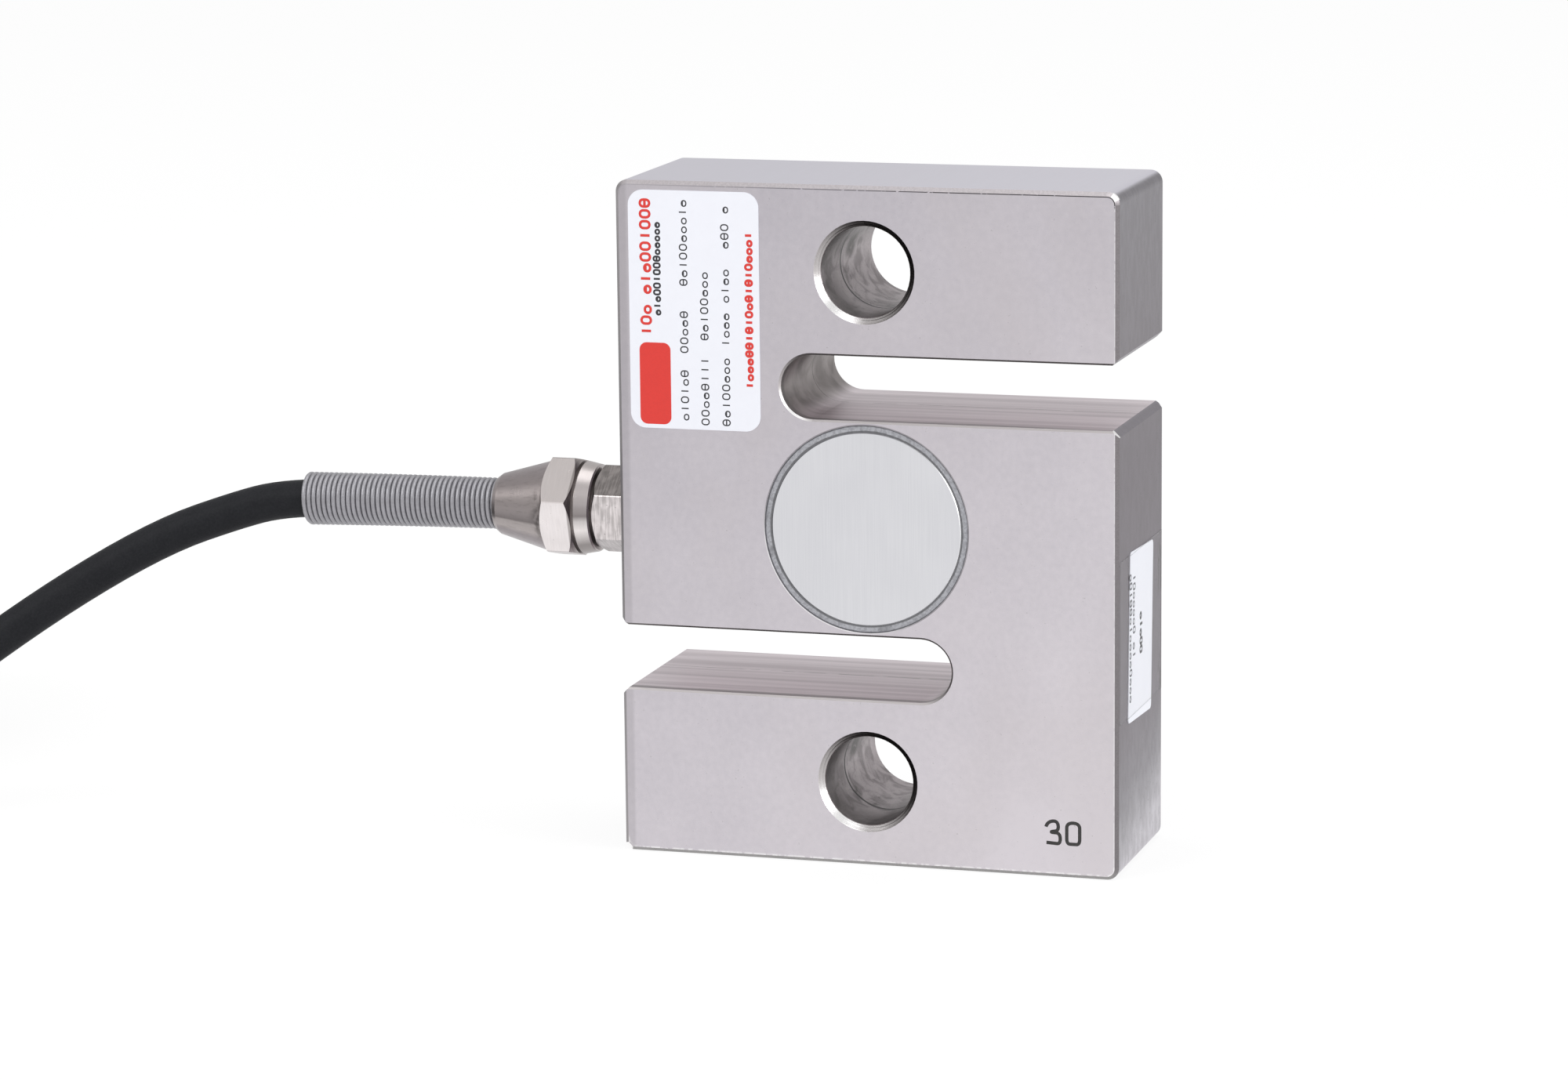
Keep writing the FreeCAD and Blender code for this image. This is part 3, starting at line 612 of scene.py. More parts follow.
        # How far inside the outline a point is, and the lines that run along it
        width, height = self.half[0] - self.corner, self.height / 2 - self.corner
        beside = (abs(surface.x) - width).greatest(0.0)
        above = (abs(surface.z - self.height / 2) - height).greatest(0.0)
        inside = self.corner - (beside * beside + above * above) ** 0.5
        grain = surface.noise(1.3, 4.0)
        high = surface.z.rise(self.height - 2.6, self.height - 1.9)
        upper = inside.band(self.chamfer + 0.1, 0.07, 0.08) * high
        upper = upper * (surface.x / 60.0 + 0.75).least(1.0) * grain.rise(0.32, 0.4)
        face = surface.mix(upper * 0.95, face, self.scored)
        # A painted highlight, serrated, along the right edge of the face.
        right = surface.x.rise(self.half[0] - 2.2, self.half[0] - 1.7) * (1.0 - high)
        serrated = inside.band(self.chamfer + 0.08, 0.05, 0.05) * right * grain.rise(0.4, 0.52)
        face = surface.mix(serrated * 0.5, face, self.glint)
        # The wear along the base edge, painted as a highlight.
        base = surface.z.rise(2.4, 1.8)
        wear_and_painted_light = inside.rise(self.chamfer + 0.4, self.chamfer) * base * grain.rise(0.4, 0.56)
        face = surface.mix(wear_and_painted_light * 0.7, face, self.glint)
        left = surface.x.rise(-self.half[0] + 2.0, -self.half[0] + 1.4)
        face = surface.mix(left * 0.16, face, self.dirt_and_shade)

        # The well's sharp edge, a painted highlight at the lower left and painted shade on the
        # right
        away = surface.distance((0.0, 0.0, self.height / 2), (1.0, 0.0, 1.0))
        rim = away.band(self.well + 0.07, 0.07, 0.06)
        lower = (surface.x * -0.6 - (surface.z - self.height / 2) * 0.8).rise(5.0, 13.0)
        return surface.mix(rim * 0.6, face, surface.mix(lower, self.well_edge_shade, self.glint))

    def shaded_side_colour(self, surface: Surface, cloud: Signal) -> Signal:
        """The two sides: darker than the faces under a painted shade, with painted light near the
        base, and blotched upright.

        Args:
            surface: the tree.
            cloud: broad noise.

        Returns:
            The colour.
        """
        blotch = surface.noise(0.12, 3.0, (1.0, 1.0, 0.6))
        drift = (blotch - 0.5) * 0.05 + (cloud - 0.5) * 0.05 - surface.y / 700.0
        # Painted shade by height: darkest in the middle, lighter towards the top, lit near the
        # base, and a little darker towards the back.
        side = surface.ramp(
            surface.z / self.height + drift,
            (0.03, (0.6, 0.58, 0.62)),
            (0.08, (0.42, 0.405, 0.435)),
            (0.14, (0.27, 0.255, 0.28)),
            (0.24, (0.195, 0.173, 0.196)),
            (0.6, (0.165, 0.144, 0.165)),
            (0.8, (0.205, 0.187, 0.208)),
            (1.0, (0.235, 0.223, 0.246)),
        )
        mottle = surface.noise(0.8, 4.0, (1.0, 1.0, 0.5)).rise(0.35, 0.65)
        side = surface.mix(mottle * 0.22, side, self.mottle)
        specks = surface.noise(1.9, 4.0).rise(0.66, 0.72)
        side = surface.mix(specks * 0.4, side, self.dirt_and_shade)
        smears = surface.noise(0.7, 4.0, (1.0, 1.6, 0.5)).rise(0.45, 0.6)
        behind = surface.y.rise(10.6, 12.0) * surface.x.rise(30.0, 36.0)
        spots = surface.z.band(42.0, 3.6, 2.0).greatest(surface.z.band(26.0, 2.6, 2.0))
        return surface.mix(smears * behind * spots * 0.75, side, self.dirt_and_shade)

    def end_colour(self, surface: Surface, lay: Signal) -> Signal:
        """The top and the bottom, ground pale along the thickness, with a painted shade that
        darkens them towards the left.
        """
        dim = tuple(part * 0.92 for part in self.top)
        return surface.mix(surface.x / 80.0 + 0.3 + (lay - 0.5) * 0.5, dim, self.top)

    def slot_colour(self, surface: Surface, streaks: Signal, nx: Signal) -> Signal:
        """A slot's walls: milled along their length from both faces, so that a seam is left.

        Args:
            surface: the tree.
            streaks: noise drawn out along the slot.
            nx: the normal's part along X.

        Returns:
            The colour.
        """
        walls = surface.mix(streaks.rise(0.3, 0.7), *self.walls)
        wander = (surface.noise(0.12, 2.0, (1.0, 0.0, 1.0)) - 0.5) * 0.7
        seam = (surface.y + wander).band(2.2, 0.09, 0.1) * surface.noise(0.35, 2.0).rise(0.36, 0.5)
        front = (surface.y + wander).rise(-11.9, -13.2) * streaks.rise(0.3, 0.5)
        oil = surface.noise(0.2, 4.0, distortion=0.6).rise(0.35, 0.7)
        ends = surface.mix(oil, *self.round_ends)
        walls = surface.mix(abs(nx).rise(0.15, 0.75), walls, ends)
        return surface.mix((seam * 0.8).greatest(front * 0.6), walls, self.dirt_and_shade)

    def rim_colour(self, surface: Surface, place: Signal) -> Signal:
        """The broken edges of bores and slots, from dark to white as they turn to the light."""
        return surface.ramp(
            place,
            (0.15, (0.035, 0.032, 0.032)),
            (0.27, (0.11, 0.1, 0.1)),
            (0.42, (0.36, 0.34, 0.34)),
            (0.62, (0.56, 0.53, 0.53)),
            (0.9, self.glint),
        )

    def bore_colour(self, surface: Surface, pits: Signal, nx: Signal, nz: Signal) -> Signal:
        """A bore's wall: oily and speckled, with a dark line where two cuts meet, and painted shade
        on its ceiling and on the side that looks left.

        Args:
            surface: the tree.
            pits: the mask of its pits.
            nx: the normal's part along X.
            nz: the normal's part along Z.

        Returns:
            The colour.
        """
        oil = surface.noise(0.32, 4.0, distortion=0.8).rise(0.42, 0.66)
        inside = surface.mix(oil * 0.75, *self.bore_walls)
        near = surface.y.rise(-4.0, -11.5) * surface.noise(0.25, 3.0).rise(0.2, 0.55)
        inside = surface.mix(near * 0.65, inside, self.bore_mouth)
        apart = self.bores[1] - self.bores[0]
        above = surface.z - surface.z.rise(self.height / 2 - 1.0, self.height / 2) * apart
        spread = surface.noise(0.5, 4.0, (1.0, 0.6, 0.5), 1.2)
        pool = surface.y.band(1.5, 2.2, 2.5) * above.band(self.bores[0] + 2.0, 1.6, 2.2)
        pool = pool * spread.rise(0.3, 0.48) * nx.rise(0.2, 0.5) * 1.15
        smear = spread.rise(0.56, 0.66) * surface.y.band(-1.0, 3.5, 3.0) * 0.6
        inside = surface.mix(pool.greatest(smear) * 0.8, inside, self.dirt_and_shade)
        inside = surface.mix(pits * 0.45, inside, self.dirt_and_shade)
        # Painted shade on the bore's ceiling and on the part of its wall that looks left.
        painted_bore_shade = (nx.rise(0.1, -0.7) * 0.7).greatest(nz.rise(0.1, -0.75) * 0.6)
        inside = surface.mix(painted_bore_shade, inside, self.dirt_and_shade)
        wander = (surface.noise(0.15, 2.0) - 0.5) * 0.7
        line = (surface.y + wander).band(-3.4, 0.3, 0.15)
        faint = (surface.y + wander * 1.6).band(-2.0, 0.12, 0.15)
        faint = faint * surface.noise(0.3, 2.0).rise(0.5, 0.6)
        return surface.mix(line.greatest(faint * 0.5) * 0.93, inside, self.black)

    def edge_colour(self, surface: Surface, nx: Signal, nz: Signal, gain: float) -> Signal:
        """The broken edges round the two faces, cut across with a file, with light and shade
        painted by where they face.

        Args:
            surface: the tree.
            nx: the normal's part along X.
            nz: the normal's part along Z.
            gain: how bright the file's teeth left it.

        Returns:
            The colour.
        """
        lifted = (tuple(part * gain for part in colour) for colour in self.filed_shading)
        # Painted light and shade: the edges are lightest where they look up and darkest where they
        # look to the side.
        strip = surface.ramp(nz * 0.5 + 0.5, *zip((0.15, 0.5, 0.85), lifted))
        return surface.mix(nx.rise(-0.3, -0.6), strip, self.filed_left_shade)


@dataclass(frozen=True)
class BrushedCover(Finish):
    """A cover's pale steel, brushed up and down, with a turned rim, painted dark away from the
    light and white towards it.

    Fields:
        radius: the cover's radius.
        middle: the height of its middle.
        rim: the colours of its rim, away from the light and towards it.
    """

    radius: float = 14.57
    middle: float = 50.8
    rim: tuple[Colour, Colour] = ((0.2, 0.2, 0.215), (0.97, 0.97, 0.98))

    def build(self, surface: Surface) -> bpy.types.Material:
        """Fills the material's tree.

        Args:
            surface: the tree.

        Returns:
            The finished material.
        """
        nx, _, nz = surface.normal()
        strokes = surface.noise(5.0, 4.0, (1.0, 1.0, 0.018))
        cloud = surface.noise(0.09, 2.0)
        away = surface.distance((0.0, 0.0, self.middle), (1.0, 0.0, 1.0))
        rim = away.rise(self.radius - 0.3, self.radius - 0.2)
        lines = (strokes * 0.55 + cloud * 0.45).rise(0.3, 0.7)
        colour = surface.mix(lines, self.shade, self.colour)
        lit = (surface.x * 0.8 - (surface.z - self.middle) * 0.5) / self.radius
        ring = surface.mix(lit.rise(-0.3, 0.45), *self.rim)
        colour = surface.mix(rim * 0.85, colour, ring)
        return surface.finish(
            Base_Color=colour,
            Metallic=self.metallic,
            Roughness=self.roughness + (strokes - 0.5) * 0.12,
            Normal=surface.bump(strokes * self.relief * (1.0 - rim)),
        )


@dataclass(frozen=True)
class GreySealant(Finish):
    """The bead round a cover: grey, mottled, with a dark line where it meets the steel.

    Fields:
        inner: its inner radius.
        outer: its outer radius.
        middle: the height of its middle.
        dark: the colour of its lines and smears.
    """

    inner: float = 14.57
    outer: float = 15.55
    middle: float = 50.8
    dark: Colour = (0.075, 0.075, 0.08)

    def build(self, surface: Surface) -> bpy.types.Material:
        """Fills the material's tree.

        Args:
            surface: the tree.

        Returns:
            The finished material.
        """
        lumps = surface.noise(2.2, 4.0, distortion=0.6)
        away = surface.distance((0.0, 0.0, self.middle), (1.0, 0.0, 1.0))
        wander = (surface.noise(0.5, 2.0) - 0.5) * 0.22
        lines = (away + wander).rise(self.inner + 0.2, self.inner + 0.08)
        lines = lines.greatest((away + wander).rise(self.outer - 0.2, self.outer - 0.1))
        smears = surface.noise(0.35, 3.0).rise(0.5, 0.68) * 0.4
        colour = surface.mix(lumps.rise(0.36, 0.64), self.shade, self.colour)
        colour = surface.mix((lines * 0.8).greatest(smears), colour, self.dark)
        return surface.finish(
            Base_Color=colour,
            Roughness=self.roughness,
            Metallic=self.metallic,
            Normal=surface.bump(lumps * self.relief - lines * 0.06),
        )


@dataclass(frozen=True)
class Plating(Finish):
    """The gland's warm nickel. Its flats, its turned collar and its cone each have a look, with
    light, shade and reflections painted in by where they face.

    Fields:
        face: where the block's face is that the gland stands on.
        hexagon: where the nut's hexagon starts and ends, measured out from that face.
        collar: where its collar starts and ends.
        marks: how dark the dents are.
        wear_and_painted_light: the colour of wear and dents, and of the painted shade on the small
            hexagon's upward flats.
        drawn_dark: the colour of the cone's drawn lines.
        cone_dark_band: the colour of the blotchy dark band on the cone's sides next to the hexagon.
        recess: the colour of the corners that light doesn't reach.
    """

    face: float = -38.1
    hexagon: Pair = (10.45, 15.35)
    collar: Pair = (7.7, 10.45)
    marks: float = 0.3
    wear_and_painted_light: Colour = (0.075, 0.068, 0.066)
    drawn_dark: Colour = (0.12, 0.11, 0.105)
    cone_dark_band: Colour = (0.05, 0.045, 0.043)
    recess: Colour = (0.13, 0.11, 0.1)

    def build(self, surface: Surface) -> bpy.types.Material:
        """Fills the material's tree.

        Args:
            surface: the tree.

        Returns:
            The finished material.
        """
        nx, ny, nz = surface.normal()
        out = self.face - surface.x
        turned = surface.noise(4.0, 3.0, (1.0, 0.08, 0.08))
        cloud = surface.noise(0.35, 3.0)
        dents = surface.noise(1.5, 3.0).rise(0.69, 0.74)
        place = nz * 0.5 + 0.5

        # Flat faces: painted light where they look a little down, painted shade where they look far
        # up
        flats = surface.ramp(
            place,
            (0.05, (0.5, 0.46, 0.465)),
            (0.3, (0.84, 0.79, 0.79)),
            (0.42, (0.84, 0.79, 0.79)),
            (0.48, (0.86, 0.8, 0.8)),
            (0.8, (0.8, 0.74, 0.73)),
            (0.9, (0.36, 0.33, 0.32)),
        )
        smudge = surface.noise(0.55, 4.0, distortion=0.5).rise(0.4, 0.62)
        low_hex = out.rise(self.collar[0], self.collar[0] - 0.3)
        # Wear and dents, with painted shade where the small hexagon's flats look up.
        wear_and_painted_light = smudge * 0.16 + nz.rise(0.1, 0.75) * 0.4 + turned.rise(0.4, 0.62) * 0.25 + 0.08
        wear_and_painted_light = low_hex * wear_and_painted_light + dents * self.marks
        flats = surface.mix(wear_and_painted_light, flats, self.wear_and_painted_light)
        # The collar's painted reflections and shade, by where it faces.
        collar = surface.ramp(
            place,
            (0.0, (0.3, 0.27, 0.265)),
            (0.15, (0.3, 0.275, 0.27)),
            (0.33, (0.86, 0.81, 0.8)),
            (0.43, (0.6, 0.565, 0.56)),
            (0.49, (0.24, 0.215, 0.215)),
            (0.62, (0.53, 0.485, 0.485)),
            (0.85, (0.5, 0.46, 0.455)),
            (1.0, (0.5, 0.46, 0.45)),
        )
        # The cone's painted highlights and shade, by where it faces.
        cone = surface.ramp(
            place,
            (0.0, (0.4, 0.365, 0.38)),
            (0.2, (0.3, 0.27, 0.28)),
            (0.26, (0.42, 0.38, 0.375)),
            (0.36, (0.37, 0.335, 0.33)),
            (0.385, (0.18, 0.16, 0.16)),
            (0.45, (0.24, 0.215, 0.215)),
            (0.7, (0.4, 0.355, 0.35)),
            (0.82, (0.3, 0.265, 0.265)),
            (1.0, (0.34, 0.3, 0.31)),
        )
        # A blotchy dark band on the cone's sides, next to the hexagon.
        cone_dark_band = out.rise(self.hexagon[1] + 2.2, self.hexagon[1] + 0.3) * smudge
        cone_dark_band = cone_dark_band * nz.band(0.0, 0.5, 0.5)
        drawn = surface.noise(2.6, 3.0, (0.06, 1.0, 1.0))
        cone = surface.mix(drawn.rise(0.5, 0.3) * 0.22, cone, self.drawn_dark)
        cone = surface.mix(cone_dark_band * 0.7, cone, self.cone_dark_band)

        colour = surface.mix(out.band(sum(self.collar) / 2, 1.3, 0.1), flats, collar)
        colour = surface.mix(out.rise(self.hexagon[1] - 0.05, self.hexagon[1] + 0.05), colour, cone)
        recess = out.band(self.hexagon[0], 0.4, 0.2).greatest(abs(nx).rise(0.75, 0.9))
        colour = surface.mix(recess * 0.6, colour, self.recess)
        tarnish = (turned * 0.5 + cloud * 0.5).rise(0.34, 0.66) * 0.14
        colour = surface.mix(tarnish, colour, self.shade)
        return surface.finish(
            Base_Color=colour,
            Metallic=self.metallic,
            Roughness=self.roughness + (cloud - 0.5) * 0.15,
            Normal=surface.bump(turned * self.relief - dents * 0.01),
        )


@dataclass(frozen=True)
class Film(Finish):
    """Clear tape: nearly all of it lets light through, and its gloss shows.

    Fields:
        body: how much of the light it stops.
        haze: how much more it stops in its creases.
        brink: how much more it stops where it slopes and at its rim.
    """

    body: float = 0.02
    haze: float = 0.03
    brink: float = 0.3

    def build(self, surface: Surface) -> bpy.types.Material:
        """Fills the material's tree.

        Args:
            surface: the tree.

        Returns:
            The finished material.
        """
        nx, _, _ = surface.normal()
        crease = surface.noise(0.4, 3.0, (1.0, 1.0, 0.4), 0.7)
        brink = abs(nx).rise(0.97, 0.6)
        return surface.finish(
            Base_Color=surface.mix(brink, self.colour, self.shade),
            Roughness=self.roughness + crease * 0.15,
            Alpha=self.body + crease * self.haze + brink * self.brink,
            Normal=surface.bump(crease * self.relief),
        )


class Finishes(Enum):
    """Every finish of the load cell."""

    # The steel's colour and shade are the light and dark ends of the painted shade across its
    # faces.
    STEEL = GroundSteel(
        "ground_steel", (0.71, 0.669, 0.706), (0.51, 0.483, 0.525), 0.4, 1.0, slot="steel"
    )
    COVER = BrushedCover(
        "brushed_cover", (0.73, 0.73, 0.757), (0.675, 0.675, 0.705), 0.34, 1.0, relief=0.004,
        slot="cover",
    )
    SEALANT = GreySealant(
        "grey_sealant", (0.42, 0.425, 0.455), (0.29, 0.29, 0.315), 0.42, relief=0.03, slot="sealant"
    )
    NICKEL = Plating(
        "warm_nickel", (0.74, 0.7, 0.66), (0.3, 0.27, 0.26), 0.3, 1.0, relief=0.004, slot="plating"
    )
    RUBBER = Finish("seal_rubber", (0.03, 0.03, 0.031), (0.018, 0.018, 0.019), 0.6, slot="washer")
    BRASS = Finish("thrust_brass", (0.62, 0.45, 0.18), (0.45, 0.31, 0.12), 0.35, 1.0, slot="brass")
    SPRING = Finish(
        "spring_wire", (0.4, 0.395, 0.42), (0.34, 0.335, 0.355), 0.48, 0.9, 3.0, 0.001,
        (0.3, 1.0, 1.0), "spring",
    )
    JACKET = Finish(
        "cord_jacket", (0.019, 0.0195, 0.0225), (0.014, 0.0145, 0.017), 0.55, grain=3.0,
        relief=0.008, slot="jacket", gloss=0.1,
    )
    SLEEVE = Finish(
        "end_sleeve", (0.012, 0.012, 0.013), (0.008, 0.008, 0.009), 0.34, grain=1.2, relief=0.05,
        slot="sleeve",
    )
    LABEL = Finish(
        "label_paper", (0.85, 0.86, 0.92), (0.84, 0.85, 0.91), 0.42, grain=1.0, relief=0.0005,
        slot="label",
    )
    RED_INK = Finish(
        "red_ink", (0.72, 0.035, 0.025), (0.69, 0.033, 0.024), 0.45, grain=3.0, relief=0.001,
        slot="label",
    )
    DARK_INK = Finish(
        "dark_ink", (0.03, 0.03, 0.035), (0.02, 0.02, 0.024), 0.5, grain=6.0, relief=0.001,
        slot="label",
    )
    GREY_INK = Finish(
        "grey_ink", (0.09, 0.095, 0.11), (0.07, 0.072, 0.085), 0.5, grain=6.0, relief=0.001,
        slot="label",
    )
    STAMP = Finish(
        "stamped_mark", (0.035, 0.033, 0.032), (0.02, 0.019, 0.019), 0.55, 0.0, 4.0, 0.02,
        slot="steel",
    )
    BOARD = Finish(
        "green_board", (0.02, 0.16, 0.07), (0.015, 0.11, 0.05), 0.35, relief=0.003, slot="board"
    )
    RESISTOR = Finish("resistor_body", (0.35, 0.5, 0.62), (0.28, 0.42, 0.54), 0.4, slot="resistor")
    GAUGE = Finish(
        "gauge_foil", (0.62, 0.36, 0.16), (0.5, 0.27, 0.11), 0.3, 0.6, 4.0, 0.002, slot="gauge"
    )
    TIE = Finish(
        "black_nylon", (0.02, 0.02, 0.021), (0.014, 0.014, 0.015), 0.4, relief=0.01, slot="tie"
    )
    TINNED = Finish(
        "tinned_copper", (0.66, 0.64, 0.6), (0.5, 0.48, 0.45), 0.3, 1.0, slot="tinned_copper"
    )
    CORE_RED = Finish(
        "core_red", (0.55, 0.02, 0.02), (0.45, 0.015, 0.015), 0.4, slot="insulation_red"
    )
    CORE_BLACK = Finish(
        "core_black", (0.02, 0.02, 0.02), (0.014, 0.014, 0.014), 0.4, slot="insulation_black"
    )
    CORE_GREEN = Finish(
        "core_green", (0.02, 0.26, 0.06), (0.016, 0.2, 0.045), 0.4, slot="insulation_green"
    )
    CORE_WHITE = Finish(
        "core_white", (0.75, 0.75, 0.73), (0.66, 0.66, 0.64), 0.4, slot="insulation_white"
    )
    FILM = Film("clear_film", (0.6, 0.6, 0.62), (0.16, 0.155, 0.16), 0.12, relief=0.02, slot="film")

    @property
    def material(self) -> bpy.types.Material:
        """The finish's material."""
        return self.value.material()


CORES = {
    "red": Finishes.CORE_RED,
    "black": Finishes.CORE_BLACK,
    "green": Finishes.CORE_GREEN,
    "white": Finishes.CORE_WHITE,
}


def dress(finish: Finishes, *nodes: str) -> None:
    """Gives CAD nodes a finish.

    Args:
        finish: the finish.
        nodes: the nodes' names.
    """
    for name in nodes:
        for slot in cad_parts[name].material_slots:
            slot.material = finish.material
    LOG.info("dressed %s in %s", ", ".join(nodes), finish.name.lower())


def add_piece(name: str, mesh: bpy.types.Mesh, finish: Finishes, *nodes: str) -> bpy.types.Object:
    """Adds a piece whose place is in its mesh, riding on the body.

    Args:
        name: the piece's name.
        mesh: its mesh.
        finish: its finish.
        nodes: the CAD nodes that it stands for.

    Returns:
        The object.
    """
    piece = add_object(name, mesh)
    if finish.material.name not in mesh.materials:
        mesh.materials.append(finish.material)
    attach(piece, BODY)
    if nodes:
        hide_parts(*nodes)
    LOG.info("made %s, %d faces", name, len(mesh.polygons))
    return piece


def add_object(name: str, data: bpy.types.ID) -> bpy.types.Object:
    """Adds an object to the scene.

    Args:
        name: the object's name.
        data: its mesh, curve, lamp or camera.

    Returns:
        The object.
    """
    made = bpy.data.objects.new(name, data)
    bpy.context.scene.collection.objects.link(made)
    return made


def grown_mesh(host: bpy.types.Object) -> bpy.types.Mesh:
    """Keeps the mesh that an object's curve or modifiers make, and removes the object."""
    made = host.evaluated_get(bpy.context.evaluated_depsgraph_get())
    mesh = bpy.data.meshes.new_from_object(made)
    bpy.data.objects.remove(host)
    return mesh


def kept_mesh(name: str, shape: bmesh.types.BMesh) -> bpy.types.Mesh:
    """Turns a bmesh into a mesh of a name, and frees it."""
    mesh = bpy.data.meshes.new(name)
    shape.to_mesh(mesh)
    shape.free()
    return mesh


# --- Pieces ---


@dataclass
class Gland:
    """The cable gland on the left face, and the close-wound spring that it grips.

    Fields:
        axis: the height of the gland's axis.
        cord_start: where the cord's entry starts, inside the block.
        spring_start: where the spring starts, inside the nut.
        spring_end: where it ends.
        spring_sag: how far it sinks on the way.
        spring_bend: where its axis starts to bend, of the way.
        wire: its wire's diameter, which is also its pitch.
        wire_gain: how much thicker the wire is drawn, so that the turns touch.
        coil_radius: the radius of the wire's middle line.
        coil_flare: how much that radius grows on the way.
        steps_per_turn: how many pieces a turn has.
    """

    axis: float = 49.5 * MM
    cord_start: float = -34.1 * MM
    spring_start: float = -57.7 * MM
    spring_end: float = -93.35 * MM
    spring_sag: float = 0.55 * MM
    spring_bend: float = 0.4
    wire: float = 0.785 * MM
    wire_gain: float = 1.02
    coil_radius: float = 3.6 * MM
    coil_flare: float = 0.2 * MM
    steps_per_turn: int = 40

    def build(self) -> None:
        """Dresses the turned parts, and winds the spring."""
        dress(Finishes.NICKEL, "gland_body", "gland_nut")
        dress(Finishes.RUBBER, "gland_washer", "gland_seal")
        dress(Finishes.BRASS, "thrust_washer")
        self.wind_spring()
        self.lay_entry()

    def axis_points(self) -> tuple[Vector, Vector, Vector]:
        """The start, the middle control point and the end of the spring's sagging axis."""
        straight = (self.spring_end - self.spring_start) * self.spring_bend
        middle = (self.spring_start + straight, 0.0, self.axis)
        end = (self.spring_end, 0.0, self.axis - self.spring_sag)
        return Vector((self.spring_start, 0.0, self.axis)), Vector(middle), Vector(end)

    def spring_tree(self) -> bpy.types.NodeTree:
        """Builds the geometry tree of a helix on a curved axis.

        Returns:
            The tree.
        """
        tree = Growth(
            "wound_spring",
            Turns="Float",
            Steps="Int",
            Radius="Float",
            Flare="Float",
            Wire="Float",
            Start="Vector",
            Middle="Vector",
            End="Vector",
        )
        given = tree.given
        ends = {name: given[name] for name in ("Start", "Middle", "End")}
        axis = tree.node("GeometryNodeCurveQuadraticBezier", sockets=ends | {"Resolution": 64})
        line = tree.node(
            "GeometryNodeResampleCurve", sockets={"Curve": axis, "Count": given["Steps"]}
        )
        along = tree.node("GeometryNodeSplineParameter", output="Factor")
        angle = along * given["Turns"] * (2 * math.pi)
        normal = tree.node("GeometryNodeInputNormal")
        tangent = tree.node("GeometryNodeInputTangent")
        side = tree.vectors("CROSS_PRODUCT", {0: tangent, 1: normal})
        out = given["Radius"] + given["Flare"] * along
        first = tree.vectors("SCALE", {0: normal, "Scale": out * angle.cosine()})
        second = tree.vectors("SCALE", {0: side, "Scale": out * angle.sine()})
        shift = tree.vectors("ADD", {0: first, 1: second})
        helix = tree.node("GeometryNodeSetPosition", sockets={"Geometry": line, "Offset": shift})
        wire = tree.along(helix, tree.circle(given["Wire"], 10))
        return tree.close(tree.node("GeometryNodeSetShadeSmooth", sockets={"Geometry": wire}))

    def wind_spring(self) -> None:
        """Winds the spring, turn against turn, as far inside the nut as it is held."""
        start, middle, end = self.axis_points()
        turns = int((self.spring_start - self.spring_end - self.wire) / self.wire)
        mesh = grow(
            self.spring_tree(),
            Turns=float(turns),
            Steps=turns * self.steps_per_turn,
            Radius=self.coil_radius - self.coil_flare / 2,
            Flare=self.coil_flare,
            Wire=self.wire * self.wire_gain,
            Start=start,
            Middle=middle,
            End=end,
            Material=Finishes.SPRING.material,
        )
        add_piece("wound_spring", mesh, Finishes.SPRING, "strain_relief_spring")

    def lay_entry(self) -> None:
        """Lays the cord's short length inside the gland and the spring."""
        start, middle, end = self.axis_points()
        inside = Vector((self.cord_start, 0.0, self.axis))
        mesh = tube_mesh("cord_entry", [inside, start, middle, end], CORD_DIAMETER, rings=8)
        add_piece("cord_entry", mesh, Finishes.JACKET, "cable_entry")


def grow(group: bpy.types.NodeTree, **values: Any) -> bpy.types.Mesh:
    """Runs a geometry tree on an empty mesh, and keeps what it makes.

    Args:
        group: the tree.
        values: its inputs' values, by name.

    Returns:
        The mesh.
    """
    host = add_object(group.name, bpy.data.meshes.new(group.name))
    modifier = host.modifiers.new("grow", "NODES")
    modifier.node_group = group
    for item in group.interface.items_tree:
        if item.item_type == "SOCKET" and item.in_out == "INPUT" and item.name in values:
            modifier[item.identifier] = values[item.name]
    return grown_mesh(host)


def nurbs_curve(
    name: str, points: Iterable[Sequence[float]], diameter: float, rings: int
) -> bpy.types.Curve:
    """Makes a round cord on one open NURBS spline.

    Args:
        name: the curve's name.
        points: the spline's control points.
        diameter: the cord's diameter.
        rings: how many rings of faces there are to each control point.

    Returns:
        The curve.
    """
    curve = bpy.data.curves.new(name, "CURVE")
    curve.dimensions = "3D"
    spline = curve.splines.new("NURBS")
    points = [tuple(point) for point in points]
    spline.points.add(len(points) - 1)
    for made, point in zip(spline.points, points):
        made.co = (*point, 1.0)
    spline.order_u = 3
    spline.use_endpoint_u = True
    spline.use_smooth = True
    curve.resolution_u = rings
    curve.bevel_depth = diameter / 2
    curve.bevel_resolution = 6
    curve.use_fill_caps = True
    return curve


def tube_mesh(
    name: str, points: Iterable[Sequence[float]], diameter: float, rings: int
) -> bpy.types.Mesh:
    """Makes the mesh of a round tube along a smooth line.

    Args:
        name: the mesh's name.
        points: the line's control points.
        diameter: the tube's diameter.
        rings: how many rings of faces there are to each control point.

    Returns:
        The mesh.
    """
    return grown_mesh(add_object(name, nurbs_curve(name, points, diameter, rings)))


